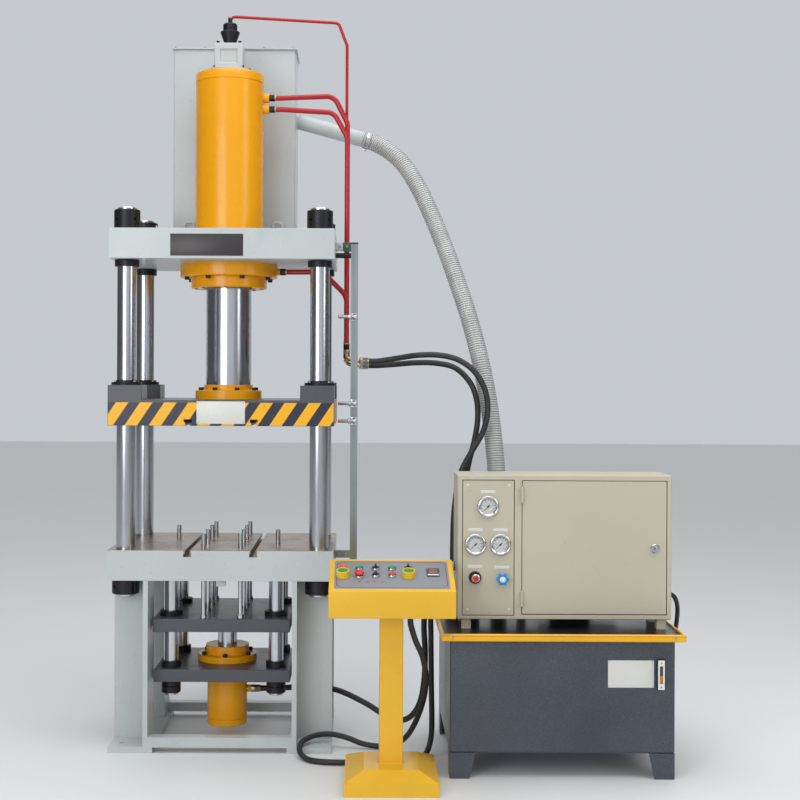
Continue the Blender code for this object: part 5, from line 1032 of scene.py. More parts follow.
def slide():
    """The striped slide with its corner bosses, guide bushes and their screws, and bare sign plate with its
    rivets.
    """
    made = cut(plate("slide_plate", SLIDE_BOTTOM, SLIDE_TOP), *column_holes(SLIDE_BOTTOM, SLIDE_TOP),
               *slot_cutters(SLIDE_BOTTOM, 1), edge=0.0025)
    pieces = [made]
    for sx in SIGNS:
        for sy in SIGNS:
            xs = sorted((sx * SIDE, sx * (SIDE - BOSS_W)))
            ys = sorted((sy * FRONT, sy * (FRONT + BOSS_W)))
            boss = block("boss", (xs[0], ys[0], SLIDE_TOP - 0.004), (xs[1], ys[1], BOSS_TOP), 0)
            bore = bar("bore", COLUMN_R + 0.0004, (sx * COLUMN_X, -sy * COLUMN_Y, 1.5),
                       (sx * COLUMN_X, -sy * COLUMN_Y, 1.8), 64)
            pieces.append(cut(boss, bore, edge=0.0025))
    dress(joined("slide_body", pieces), "striped paint", "slide_unit", ("slide",))
    bushes = []
    for _, x, y in column_places():
        bore = COLUMN_R + 0.0004
        bushes.append(lathe("bush", [
            (bore, BOSS_TOP + BUSH_H), (0.052, BOSS_TOP + BUSH_H), (0.054, BOSS_TOP + BUSH_H - 0.002),
            (0.054, BOSS_TOP + 0.013), (BUSH_R - 0.002, BOSS_TOP + 0.013), (BUSH_R, BOSS_TOP + 0.011),
            (BUSH_R, BOSS_TOP - 0.001), (bore, BOSS_TOP - 0.001), (bore, BOSS_TOP + BUSH_H)],
                            facing(x, y, 0)))
    dress(joined("guide_bushes", bushes), "black oxide", "slide_unit")
    frames = [frame for _, x, y in column_places() for frame in around((x, y, BOSS_TOP + 0.013), 0.062, 4)]
    dress(spread("bush_screws", socket_head(0.0062, 0.007), frames), "zinc", "slide_unit")
    sign = block("slide_sign_plate", (-0.110, FRONT - 0.0013, SLIDE_BOTTOM + 0.010),
                 (0.110, FRONT + 0.0005, SLIDE_TOP - 0.006), 0.0005)
    dress(sign, "plate white", "slide_unit")
    corners = [upright(x, FRONT - 0.0013, z) for x in (-0.103, 0.103)
               for z in (SLIDE_BOTTOM + 0.017, SLIDE_TOP - 0.013)]
    dress(spread("sign_rivets", slotted_head(0.0028), corners), "zinc", "slide_unit")


def cylinder():
    """The main cylinder with cap seam, flange, ports and ring of screws, and the gland ring under it."""
    seat = CROWN_BOTTOM - CLEAR
    foot = seat - FLANGE_H
    bore = RAM_R + 0.0008
    outline = [
        (0, CYL_TOP), (CYL_R - 0.006, CYL_TOP), (CYL_R - 0.002, CYL_TOP - 0.0015), (CYL_R, CYL_TOP - 0.005),
        (CYL_R, CYL_SEAM + 0.002), (CYL_R - 0.003, CYL_SEAM + 0.001), (CYL_R - 0.003, CYL_SEAM - 0.001),
        (CYL_R, CYL_SEAM - 0.002), (CYL_R, seat + 0.006), (CYL_R + 0.004, seat + 0.001), (FLANGE_R, seat),
        (FLANGE_R, foot + 0.004), (FLANGE_R - 0.004, foot), (bore, foot), (bore, foot + 0.3), (0, foot + 0.3),
    ]
    barrel = lathe("barrel", outline, sides=128)
    bosses = [
        bar("upper_port", 0.023, (CYL_R - 0.010, 0, UPPER_PORT_Z), (PORT_X, 0, UPPER_PORT_Z), 48, 0.002),
        bar("lower_port", 0.023, (CYL_R - 0.010, 0, LOWER_PORT_Z), (PORT_X, 0, LOWER_PORT_Z), 48, 0.002),
        bar("flange_port", 0.016, (FLANGE_R - 0.010, 0, foot + 0.031), (0.245, 0, foot + 0.031), 48, 0.002),
    ]
    dress(joined("cylinder_body", [barrel, *bosses]), "orange paint",
          replaces=("main_cylinder",))
    top = foot - CLEAR
    gland = lathe("gland_body", [
        (bore, top), (GLAND_R, top), (GLAND_R, top - GLAND_H + 0.004), (GLAND_R - 0.004, top - GLAND_H),
        (RAM_R + 0.020, top - GLAND_H), (RAM_R + 0.018, top - GLAND_H + 0.003),
        (RAM_R + 0.006, top - GLAND_H + 0.003), (bore, top - GLAND_H + 0.006), (bore, top)], sides=128)
    dress(gland, "orange paint", replaces=("gland_ring",))
    wiper = lathe("rod_wiper", [(bore, top - GLAND_H + 0.004), (RAM_R + 0.010, top - GLAND_H + 0.003),
                                (RAM_R + 0.008, top - GLAND_H - 0.001),
                                (RAM_R + 0.0004, top - GLAND_H - 0.001), (bore, top - GLAND_H + 0.004)],
                  sides=96)
    dress(wiper, "black plastic")
    down = (0, 0, -1)
    frames = around((0, 0, foot), FLANGE_SCREWS_R, 8, down)
    dress(spread("flange_screws", socket_head(0.0115, 0.0135), frames), "black oxide")
    frames = around((0, 0, top - GLAND_H), GLAND_SCREWS_R, 8, down, 0)
    dress(spread("gland_screws", socket_head(0.008, 0.002), frames), "black oxide")


def ram():
    """Polished ram and the clamp ring that holds its foot to the slide."""
    foot = SLIDE_TOP + CLEAR
    shaft = lathe("ram_shaft", [(0, RAM_TOP), (RAM_R - 0.006, RAM_TOP), (RAM_R, RAM_TOP - 0.006),
                                (RAM_R, foot), (0, foot)], sides=128)
    dress(shaft, "chrome", "slide_unit", ("ram",))
    bore, step = RAM_R + CLEAR, foot + RAM_FLANGE_H
    ring = lathe("ram_clamp_ring", [
        (bore, step + RAM_COLLAR_H), (RAM_COLLAR_R - 0.001, step + RAM_COLLAR_H),
        (RAM_COLLAR_R, step + RAM_COLLAR_H - 0.001), (RAM_COLLAR_R, step + 0.004),
        (RAM_COLLAR_R + 0.004, step), (RAM_FLANGE_R - 0.003, step), (RAM_FLANGE_R, step - 0.003),
        (RAM_FLANGE_R, foot), (bore, foot), (bore, step + RAM_COLLAR_H)], sides=128)
    dress(ring, "orange paint", "slide_unit", ("ram_flange",))
    dress(spread("ram_screws", socket_head(0.0105), around((0, 0, step), 0.138, 8)), "black oxide",
          "slide_unit")


def prefill_valve():
    """The square valve on the cylinder with its corner screws, neck, black bell and cap, and tank duct."""
    base = CYL_TOP + CLEAR
    top = base + 0.140
    ring = lathe("valve_ring", [(0, base + 0.022), (0.103, base + 0.022), (0.105, base + 0.020),
                                (0.105, base), (0, base)], sides=96)
    body = block("valve_body", (-0.068, -0.075, base + 0.021), (0.068, 0.075, top), 0)
    recess = block("recess", (-0.040, -0.080, base + 0.045), (0.040, -0.065, base + 0.110), 0)
    body = cut(body, recess, edge=0.005)
    duct_z = base + 0.085
    duct = bar("duct", 0.045, (0, 0.070, duct_z), (0, 0.2297, duct_z), 64)
    duct_flange = bar("duct_flange", 0.061, (0, 0.212, duct_z), (0, 0.2297, duct_z), 64, 0.002)
    dress(joined("valve_housing", [ring, body, duct, duct_flange]), "grey paint",
          replaces=("prefill_valve",))
    bell = top + 0.018
    head = lathe("valve_bell", [
        (0, bell + 0.090), (0.028, bell + 0.090), (0.034, bell + 0.084), (0.034, bell + 0.052),
        (0.045, bell + 0.050), (0.047, bell + 0.047), (0.030, bell), (0.029, bell - 0.004),
        (0.029, top - 0.002), (0, top - 0.002)], sides=96)
    dress(head, "black oxide")
    corners = [facing(x, y, top) for x in (-0.052, 0.052) for y in (-0.058, 0.058)]
    front, back = 6, 2
    foot_ring = around((0, 0, base + 0.022), 0.093, 8, first=0)
    foot_ring = [frame for index, frame in enumerate(foot_ring) if index not in (front, back)]
    dress(spread("valve_screws", socket_head(0.008), corners + foot_ring), "black oxide")
    duct_ring = around((0, 0.212, duct_z), 0.054, 6, (0, -1, 0))
    dress(spread("duct_screws", hex_head(0.006, washer=False), duct_ring), "zinc")


def top_tank():
    """The header tank: folded box, bolted lid, and the sloping hose stub with its weld."""
    low, top = CROWN_TOP + CLEAR, CROWN_TOP + CLEAR + TANK_TOP_H
    half, back = TANK_TOP_W / 2, TANK_TOP_FRONT + TANK_TOP_D
    body = block("tank_shell", (-half, TANK_TOP_FRONT, low), (half, back, top), 0.007, 4)
    lid = block("tank_lid", (-half - 0.008, TANK_TOP_FRONT - 0.008, top - 0.001),
                (half + 0.008, back - 0.001, top + 0.006), 0.001)
    stub = bar("stub", STUB_R, Vector(STUB_FOOT) - 0.030 * STUB_WAY, STUB_END, 64, 0.001)
    weld = lathe("stub_weld", [(STUB_R, 0.014), (STUB_R + 0.004, 0.010), (STUB_R + 0.006, 0.0),
                               (STUB_R + 0.006, -0.030), (STUB_R, -0.030)],
                 facing(*STUB_FOOT, STUB_WAY), 64)
    dress(joined("top_tank_body", [body, lid, stub, weld]), "grey paint",
          replaces=("top_tank",))
    frames = [facing(x * half * 0.97, y, top + 0.006) for x in (-1, -0.5, 0, 0.5, 1)
              for y in (TANK_TOP_FRONT + 0.006, back - 0.012)]
    dress(spread("lid_screws", hex_head(0.0065), frames), "zinc")


# Pipes, rail and switches


def pipe(node, corners, radius, bend):
    """A red bent pipe with a black hexagon nut and a brass cutting ring at each end."""
    route = bent_route(corners, bend)
    run = tube(node + "_run", route, radius, 24)
    dress(run, "red paint", replaces=(node,))
    size = 0.0165 if radius > PILOT_R else 0.0115
    nuts, rings = [], []
    for tip, inner in ((route[0], route[1]), (route[-1], route[-2])):
        way = (inner - tip).normalized()
        nuts.append(bar("nut", size, tip, tip + way * 0.026, 6, 0.0012))
        rings.append(bar("cutting_ring", radius + 0.0022, tip + way * 0.025, tip + way * 0.032, 32, 0.001))
    dress(joined(node + "_nuts", nuts), "black oxide")
    dress(joined(node + "_rings", rings), "brass")


def pipes():
    flange_z = CROWN_BOTTOM - CLEAR - FLANGE_H / 2
    pilot_z = CYL_TOP + CLEAR + 0.140 + 0.018 + 0.050 + 0.040 + CLEAR
    pipe("feed_pipe_upper", [(PORT_X + CLEAR, 0, UPPER_PORT_Z), (0.250, 0, UPPER_PORT_Z),
                             (0.500, 0.055, UPPER_PORT_Z + 0.022), (PIPE_X, 0.055, UPPER_PORT_Z - 0.110),
                             (PIPE_X, 0.055, PIPE_FOOT_Z)], PIPE_R, 0.055)
    pipe("feed_pipe_lower", [(PORT_X + CLEAR, 0, LOWER_PORT_Z), (0.250, 0, LOWER_PORT_Z),
                             (0.500, 0.020, LOWER_PORT_Z - 0.010), (PIPE_X, 0.020, LOWER_PORT_Z - 0.130),
                             (PIPE_X, 0.020, PIPE_FOOT_Z)], PIPE_R, 0.055)
    pipe("pilot_pipe", [(0, 0, pilot_z), (0, 0, pilot_z + 0.035), (0.520, 0.092, pilot_z + 0.030),
                        (PIPE_X - 0.004, 0.092, pilot_z - 0.080),
                        (PIPE_X - 0.004, 0.092, PIPE_FOOT_Z + 0.050)], PILOT_R, 0.026)
    pipe("return_pipe", [(0.245 + CLEAR, 0, flange_z), (0.310, 0, flange_z), (0.450, -0.016, flange_z),
                         (PIPE_X, -0.016, flange_z - 0.115), (PIPE_X, -0.016, PIPE_FOOT_Z)], PIPE_R, 0.080)


def pipe_clamp():
    """The clamp at the crown's side: a pale spacer, and a split dark block round the three upright pipes."""
    low, high = CLAMP_LOW, CLAMP_HIGH
    spacer = block("clamp_spacer", (SIDE - 0.001, 0.004, low + 0.002),
                   (CLAMP_SPLIT + 0.001, 0.108, high - 0.002))
    dress(spacer, "grey panel")
    body = block("clamp_body", (CLAMP_SPLIT, 0.000, low), (CLAMP_END, 0.114, high), 0)
    bores = [bar("bore", radius + 0.0002, (x, y, low - 0.01), (x, y, high + 0.01), 48)
             for x, y, radius in ((PIPE_X, 0.020, PIPE_R), (PIPE_X, 0.055, PIPE_R),
                                  (PIPE_X - 0.004, 0.092, PILOT_R))]
    bores.append(block("split", (PIPE_X - 0.001, -0.01, low - 0.01), (PIPE_X + 0.001, 0.12, high + 0.01), 0))
    dress(cut(body, *bores, edge=0.001), "teal plastic")
    frames = [facing(CLAMP_END, y, (low + high) / 2, (1, 0, 0)) for y in (0.0375, 0.0745, 0.1065)]
    dress(spread("clamp_screws", socket_head(0.0048), frames), "zinc")


def pipe_feet():
    """The black junction under the feed and pilot pipes, and the brass elbows that lead to the hoses."""
    low, high = PIPE_FOOT_Z - 0.040, PIPE_FOOT_Z - CLEAR
    body = block("junction_body", (PIPE_X - 0.015, 0.003, low), (PIPE_X + 0.015, 0.108, high), 0.002)
    riser = block("junction_riser", (PIPE_X - 0.015, 0.079, high - 0.002),
                  (PIPE_X + 0.011, 0.106, PIPE_FOOT_Z + 0.050 - CLEAR), 0.002)
    dress(joined("pipe_junction", [body, riser]), "black oxide")
    for name, y, top, end_y, end_z in (("return", -0.016, high, -0.030, COUPLING_Z),
                                       ("feed", 0.055, low, 0.030, COUPLING_Z - 0.020)):
        drop = top - end_z
        points = [(PIPE_X, y, top), (PIPE_X, y, top - drop * 0.30),
                  (PIPE_X + 0.006, y + (end_y - y) * 0.15, top - drop * 0.70),
                  (PIPE_X + 0.030, y + (end_y - y) * 0.85, end_z + drop * 0.03),
                  (PIPE_X + 0.052, end_y, end_z), (PIPE_X + 0.064, end_y, end_z)]
        elbow = tube(f"{name}_elbow", smooth_route(points, 0.003), 0.0085, 24)
        nut = bar("nut", 0.0150, (PIPE_X, y, top), (PIPE_X, y, top - 0.014), 6, 0.0012)
        collar = bar("collar", 0.0115, (PIPE_X, y, top - 0.013), (PIPE_X, y, top - 0.018), 32, 0.001)
        dress(joined(f"{name}_elbow", [elbow, nut, collar]), "brass")


def rail():
    """The slotted rail keeps its solid, with a cap, a black rod, a spacer and jaw at the top, and screws."""
    paint_node("limit_rail", "aluminium")
    half = RAIL_W / 2
    cap = block("rail_cap", (RAIL_X - half - 0.0008, RAIL_Y - half - 0.0008, RAIL_TOP - 0.004),
                (RAIL_X + half + 0.0008, RAIL_Y + half + 0.0008, RAIL_TOP + 0.003), 0.001)
    dress(cap, "black plastic")
    rod = bar("rail_rod_sleeve", 0.0122, (SIDE + 0.001, RAIL_Y, 2.287), (RAIL_X - half, RAIL_Y, 2.287), 32,
              0.0005)
    dress(rod, "black oxide")
    front, back = RAIL_Y - half + 0.0014, RAIL_Y + half - 0.0014
    spacer = block("bracket_spacer", (SIDE + CLEAR, front, BRACKET_LOW), (BRACKET_SPLIT, back, BRACKET_HIGH))
    dress(spacer, "grey paint")
    jaw_front, jaw_end = front - 0.0008, RAIL_X - half - CLEAR
    jaw = block("bracket_jaw", (BRACKET_SPLIT, jaw_front, BRACKET_LOW), (jaw_end, back, BRACKET_HIGH), 0.0012)
    dress(jaw, "teal plastic")
    (left, right), upper, lower = BRACKET_SCREWS, (BRACKET_LOW + BRACKET_HIGH) / 2, 0.879
    lower_face = RAIL_Y - half + 0.003
    frames = [upright(left, front, upper), upright(right, jaw_front, upper),
              upright(left, lower_face, lower), upright(right, lower_face, lower)]
    dress(spread("bracket_screws", socket_head(0.005), frames), "zinc")


def limit_switch(place, z):
    """A proximity switch: threaded chrome barrel, orange tip, two nuts, angle bracket and pale cable end."""
    plate_x = RAIL_X - RAIL_W / 2 - 0.004
    rail_face = RAIL_Y - RAIL_W / 2 - CLEAR
    threads = []
    reach = SWITCH_TIP_X + 0.006
    while reach < SWITCH_END_X - 0.012:
        threads += [(SWITCH_R, reach), (SWITCH_R - 0.0006, reach + 0.0005)]
        reach += 0.001
    outline = [(0, SWITCH_TIP_X + 0.005), (SWITCH_R, SWITCH_TIP_X + 0.005), *threads,
               (SWITCH_R, SWITCH_END_X - 0.011), (0, SWITCH_END_X - 0.011)]
    barrel = lathe("barrel", outline, facing(0, SWITCH_Y, z, (1, 0, 0)), 32)
    ear = block("ear", (plate_x, SWITCH_Y - 0.018, z - 0.018), (plate_x + 0.004, rail_face, z + 0.018),
                0.0008)
    tab = block("tab", (plate_x + 0.003, rail_face - 0.004, z - 0.018),
                (RAIL_X + RAIL_W / 2 - 0.003, rail_face, z + 0.018), 0.0008)
    nuts = [bar("nut", 0.0135, (x, SWITCH_Y, z), (x + 0.005, SWITCH_Y, z), 6, 0.0006)
            for x in (plate_x - 0.005, plate_x + 0.004)]
    dress(joined(f"switch_{place}_metal", [barrel, ear, tab, *nuts]), "polished",
          replaces=(f"limit_switch_{place}",))
    tip = bar(f"switch_{place}_tip", SWITCH_R - 0.0004, (SWITCH_TIP_X, SWITCH_Y, z),
              (SWITCH_TIP_X + 0.006, SWITCH_Y, z), 32, 0.0008)
    dress(tip, "orange plastic")
    end = bar(f"switch_{place}_end", SWITCH_R - 0.001, (SWITCH_END_X - 0.012, SWITCH_Y, z),
              (SWITCH_END_X, SWITCH_Y, z), 32, 0.001)
    dress(end, "white plastic")
    screws = [upright(RAIL_X, rail_face - 0.004, z + dz) for dz in (-0.010, 0.010)]
    dress(spread(f"switch_{place}_screws", socket_head(0.0042), screws), "black oxide")


# Ejector


def ejector():
    """Fixed lower plate on chrome guide rods, the orange cylinder through it, and the plate that moves."""
    half_w, rods = EJECT_BASE_W / 2, [(x, y) for x in (-EJECT_ROD_X, EJECT_ROD_X)
                                      for y in (-EJECT_ROD_Y, EJECT_ROD_Y)]
    base = cut(block("base", (-half_w, -EJECT_BASE_D / 2, EJECT_BASE_BOTTOM),
                     (half_w, EJECT_BASE_D / 2, EJECT_BASE_TOP), 0),
               bar("bore", EJECT_CYL_R + CLEAR, (0, 0, 0.29), (0, 0, 0.37), 96), edge=0.003)
    dress(base, "dark paint", replaces=("ejector_frame",))
    base.name = "ejector_lower_plate"
    shafts, collars = [], []
    for x, y in rods:
        where = facing(x, y, 0)
        shafts.append(lathe("rod", [(0, TABLE_BOTTOM - CLEAR), (EJECT_ROD_R, TABLE_BOTTOM - CLEAR),
                                    (EJECT_ROD_R, 0.231), (EJECT_ROD_R - 0.003, 0.229), (0, 0.229)],
                            where, 64))
        collars.append(lathe("collar", [(EJECT_ROD_R, 0.388), (0.045, 0.388), (0.047, 0.386),
                                        (0.047, EJECT_BASE_TOP - 0.001),
                                        (EJECT_ROD_R, EJECT_BASE_TOP - 0.001)], where, 64))
        for low, high in ((0.239, 0.2685), (0.2705, EJECT_BASE_BOTTOM + 0.001)):
            collars.append(spanner_ring(where, EJECT_ROD_R, 0.045, low, high))
    dress(joined("ejector_guide_rods", shafts), "chrome")
    dress(joined("ejector_nuts", collars), "black oxide")
    bore = 0.0468
    barrel = lathe("ejector_barrel", [
        (bore, 0.4303), (EJECT_GLAND_R - 0.002, 0.4303), (EJECT_GLAND_R, 0.4283), (EJECT_GLAND_R, 0.3883),
        (EJECT_FLANGE_R - 0.002, 0.3883), (EJECT_FLANGE_R, 0.3863), (EJECT_FLANGE_R, 0.3583),
        (EJECT_CYL_R, 0.3583), (EJECT_CYL_R, EJECT_CYL_BOTTOM + 0.034),
        (EJECT_CYL_R - 0.0025, EJECT_CYL_BOTTOM + 0.032), (EJECT_CYL_R, EJECT_CYL_BOTTOM + 0.030),
        (EJECT_CYL_R, EJECT_CYL_BOTTOM + 0.004), (EJECT_CYL_R - 0.004, EJECT_CYL_BOTTOM),
        (0, EJECT_CYL_BOTTOM), (0, 0.075), (bore, 0.075), (bore, 0.4303)], sides=96)
    port = bar("port", 0.017, (EJECT_CYL_R - 0.010, 0, 0.215), (EJECT_CYL_R + 0.020, 0, 0.215), 48, 0.0015)
    dress(joined("ejector_cylinder_body", [barrel, port]), "orange paint",
          replaces=("ejector_cylinder",))
    dress(spread("ejector_screws", socket_head(0.0105), around((0, 0, 0.3883), 0.122, 6)), "black oxide")
    ejector_top(rods, half_w)


def spanner_ring(where, bore, radius, low, high):
    outline = [(bore, high), (radius - 0.002, high), (radius, high - 0.002), (radius, low + 0.002),
               (radius - 0.002, low), (bore, low), (bore, high)]
    return lathe("ring_nut", outline, where, 64)


def ejector_top(rods, half_w):
    holes = [bar("bore", EJECT_ROD_R + 0.0005, (x, y, 0.52), (x, y, 0.64), 64) for x, y in rods]
    made = block("moving_plate", (-half_w, -EJECT_PLATE_D / 2, EJECT_PLATE_BOTTOM),
                 (half_w, EJECT_PLATE_D / 2, EJECT_PLATE_TOP), 0)
    dress(cut(made, *holes, edge=0.003), "dark paint", "ejector_unit", ("ejector_plate",))
    bushes = []
    for x, y in rods:
        bore = EJECT_ROD_R + 0.0005
        bushes.append(lathe("bush", [(bore, 0.621), (0.052, 0.621), (0.054, 0.619),
                                     (0.054, EJECT_PLATE_TOP - 0.001), (bore, EJECT_PLATE_TOP - 0.001),
                                     (bore, 0.621)], facing(x, y, 0)))
    dress(joined("ejector_bushes", bushes), "black oxide", "ejector_unit")
    pins = []
    for x, y in pin_places():
        pins.append(lathe("pin", [(0, PIN_TOP), (PIN_R - 0.0015, PIN_TOP), (PIN_R, PIN_TOP - 0.0015),
                                  (PIN_R, EJECT_PLATE_TOP + 0.016), (0.016, EJECT_PLATE_TOP + 0.015),
                                  (0.016, EJECT_PLATE_TOP - 0.001), (0, EJECT_PLATE_TOP - 0.001)],
                          facing(x, y, 0), 32))
    dress(joined("ejector_pins", pins), "chrome", "ejector_unit")
    outline = [(0, 0.5387), (0.046, 0.5387), (0.046, 0.188), (0.043, 0.185), (0, 0.185)]
    ram_piece = lathe("ejector_ram_shaft", outline, sides=96)
    dress(ram_piece, "chrome", "ejector_unit", ("ejector_ram",))


# Power unit


def oil_tank():
    """The hammered tank keeps its solid, with a level gauge and a bare label plate on its front."""
    paint_node("oil_tank", "hammered paint")
    front, level = TANK_FRONT - GAUGE_D, GAUGE_Z + OIL_LEVEL

    def pane(name, near, far, side, end, edge, segments=2, low=None, high=None):
        """A block in the gauge's outline, this far in from its sides and ends."""
        low = GAUGE_Z + end if low is None else low
        high = GAUGE_Z + GAUGE_H - end if high is None else high
        return block(name, (GAUGE_X + side, near, low), (GAUGE_X + GAUGE_W - side, far, high), edge, segments)

    body = pane("gauge_body", front - 0.0006, TANK_FRONT, -0.0005, -0.0005, 0.003, 3)
    dress(cut(body, pane("window", front - 0.01, front + 0.003, 0.008, 0.026, 0.002)), "black plastic")
    near, far = front - 0.0005, front + 0.003
    dress(pane("sight_glass_oil", near, far, 0.0085, 0.0265, 0.0015, high=level), "amber")
    dress(pane("sight_glass_air", near, far, 0.0085, 0.0265, 0.0015, low=level), "dark plastic")
    face = pane("gauge_face", front - 0.0022, front - 0.0003, 0.001, 0.001, 0)
    opening = pane("opening", front - 0.01, front + 0.01, 0.0078, 0.0258, 0)
    dress(cut(face, opening, edge=0.0006), "white plastic")
    frames = [upright(GAUGE_X + GAUGE_W / 2, front - 0.0022, z)
              for z in (GAUGE_Z + 0.0125, GAUGE_Z + GAUGE_H - 0.0125)]
    dress(spread("gauge_screws", slotted_head(0.0045), frames), "zinc")
    right, top, face_y, inset = LABEL_X + LABEL_W, LABEL_Z + LABEL_H, TANK_FRONT - 0.0012, 0.006
    label = block("tank_label_plate", (LABEL_X, face_y, LABEL_Z), (right, TANK_FRONT + 0.0003, top), 0.0004)
    dress(label, "plate white")
    rivets = [upright(x, face_y, z) for x in (LABEL_X + inset, right - inset)
              for z in (LABEL_Z + inset, top - inset)]
    dress(spread("label_rivets", slotted_head(0.0025), rivets), "zinc")


def tray():
    """The drip tray keeps its solid, with rim screws and the big hose's spigot flange."""
    paint_node("drip_tray", "tray paint")
    bore, flange_r, flange_top, flange_foot = 0.030, SPIGOT_R + 0.0246, 0.629, 0.6161
    spigot = lathe("spigot", [
        (bore, SPIGOT_TOP - 0.002), (bore, SPIGOT_TOP), (SPIGOT_R - 0.001, SPIGOT_TOP),
        (SPIGOT_R, SPIGOT_TOP - 0.001), (SPIGOT_R, flange_top + 0.003), (SPIGOT_R + 0.003, flange_top),
        (flange_r - 0.0016, flange_top), (flange_r, flange_top - 0.002), (flange_r, flange_foot),
        (bore, flange_foot), (bore, SPIGOT_TOP - 0.002),
    ], facing(SPIGOT_X, SPIGOT_Y, 0))
    dress(spigot, "black oxide")
    frames = around((SPIGOT_X, SPIGOT_Y, flange_top), 0.051, 6)
    dress(spread("spigot_screws", hex_head(0.0065), frames), "zinc")
    rim_screws = [upright(x, TRAY_FRONT, 0.609) for x in (1.03, 1.976)]
    dress(spread("rim_screws", slotted_head(0.006), rim_screws), "zinc")


def cabinet():
    """Cabinet, door and gauge panel keep their solids, with hinge pins, seam, screws, strips and glands."""
    for node in ("cabinet", "cabinet_door", "gauge_panel"):
        paint_node(node, "powder coat")
    half = 0.0345
    pins = [bar("hinge_pin", 0.0045, (HINGE_X, HINGE_Y, z - half), (HINGE_X, HINGE_Y, z + half), 24, 0.001)
            for z in HINGE_Z]
    dress(joined("hinge_pins", pins), "polished")
    right, top, seam = PANEL_X0 + PANEL_W, PANEL_Z0 + PANEL_H, 0.0028
    strips = [(PANEL_X0 - seam, right + seam, PANEL_Z0 - seam, PANEL_Z0),
              (PANEL_X0 - seam, right + seam, top, top + seam),
              (PANEL_X0 - seam, PANEL_X0, PANEL_Z0, top), (right, right + seam, PANEL_Z0, top)]
    edges = [block("seam", (x0, CAB_FRONT - 0.0004, z0), (x1, CAB_FRONT + 0.0004, z1), 0)
             for x0, x1, z0, z1 in strips]
    dress(joined("panel_seam", edges), "black plastic")
    corners = [upright(x, PANEL_FRONT, z) for x in (PANEL_X0 + 0.022, right - 0.020)
               for z in (PANEL_Z0 + 0.022, top - 0.022)]
    dress(spread("panel_screws", slotted_head(0.0060), corners), "white plastic")
    above_dial, above_knob, half_w, half_h = 0.0645, 0.0480, 0.032, 0.007
    places = [(x, z + above_dial) for x, z in DIALS.values()]
    places += [(x, z + above_knob) for x, z in (THROTTLE, STAR)]
    near, far = PANEL_FRONT - 0.0008, PANEL_FRONT + 0.0002
    strips = [block("strip", (x - half_w, near, z - half_h), (x + half_w, far, z + half_h), 0.0003) for x,
              z in places]
    dress(joined("blank_strips", strips), "plate white")
    left, right = (-1, 0, 0), (1, 0, 0)
    glands = [cable_gland((1.994, -0.450, 0.750), right, 0.0142),
              cable_gland((CAB_X0, -0.450, 0.870), left, 0.0202),
              cable_gland((1.9835, -0.300, 0.420), right, 0.0142)]
    dress(joined("cabinet_glands", glands), "dark plastic")


def cable_gland(place, way, size):
    """A stepped twelve-sided nut round a cable."""
    reach, waist = 0.0130, size * 0.9
    outline = [(0, reach), (size * 0.72, reach), (waist, reach * 0.8), (waist, reach * 0.5),
               (size, reach * 0.5), (size + 0.0006, 0.0005), (0, 0.0005)]
    return lathe("gland", outline, facing(*place, way), 12, 20)


def door_lock():
    """Round lock face, cylinder with its key slot, and the key standing in it."""
    where = upright(LOCK_X, CAB_FRONT - CLEAR, LOCK_Z)
    face = lathe("lock_face", [(0, 0.005), (0.009, 0.005), (0.0095, 0.008), (0.017, 0.008), (0.0195, 0.006),
                               (0.020, 0.003), (0.020, 0), (0.008, 0), (0.008, -0.018), (0, -0.018)], where,
                 64)
    blade = block("blade", (-0.00125, -0.004, 0.004), (0.00125, 0.004, 0.018), 0.0003, where=where)
    bow = bar("bow", 0.011, (-0.00125, 0, 0.024), (0.00125, 0, 0.024), 48, 0.0006, where=where)
    eye = bar("eye", 0.003, (-0.01, 0, 0.029), (0.01, 0, 0.029), 24, where=where)
    dress(joined("lock_and_key", [face, blade, cut(bow, eye)]), "polished", "lock", ("door_lock",))


def dials():
    """Each dial's rim, printed face, numbers, pointer and glass."""
    for place, (x, z) in DIALS.items():
        where = upright(x, PANEL_FRONT, z)
        inner = DIAL_SCALE
        rim = lathe(f"dial_{place}_rim", [
            (inner, DIAL_FACE), (inner, 0.0108), (inner + 0.001, 0.0116),
            (DIAL_R - DIAL_RIM - 0.001, DIAL_H + 0.0002), (DIAL_R - DIAL_RIM + 0.001, DIAL_H + 0.0010),
            (DIAL_R - 0.003, DIAL_H + 0.0006), (DIAL_R + 0.0003, DIAL_H - 0.002), (DIAL_R + 0.0006, 0.003),
            (DIAL_R + 0.0006, 0.0002), (DIAL_R - 0.001, 0.0002)], where, 96)
        dress(rim, "polished")
        face = bar(f"dial_{place}_face", inner, (0, 0, DIAL_FACE - 0.0005), (0, 0, DIAL_FACE + 0.0002), 64,
                   where=where)
        dress(face, f"dial {place}")
        dress(joined(f"dial_{place}_numbers", dial_numbers(place, inner, where)), "black plastic")
        pane = bar(f"dial_{place}_glass", inner, (0, 0, 0.0099), (0, 0, 0.0106), 64, where=where)
        dress(pane, "glass")
        needle(place, where)


def dial_numbers(place, inner, where):
    """Plain numbers round the dial, upright, at every second main tick."""
    top = 25 if place == "main" else 10
    pieces = []
    for index in range(6):
        turn = math.radians(-135 + 54 * index)
        reach = inner - 0.0135
        bpy.ops.object.select_all(action="DESELECT")
        bpy.ops.object.text_add()
        label = bpy.context.object
        label.data.body = f"{top * index // 5}"
        label.data.size, label.data.extrude = 0.0072, 0.00015
        label.data.align_x, label.data.align_y = "CENTER", "CENTER"
        label.location = (reach * math.sin(turn), reach * math.cos(turn), DIAL_FACE + 0.0003)
        bpy.ops.object.convert(target="MESH")
        pieces.append(placed(bpy.context.object, "number", where))
    return pieces


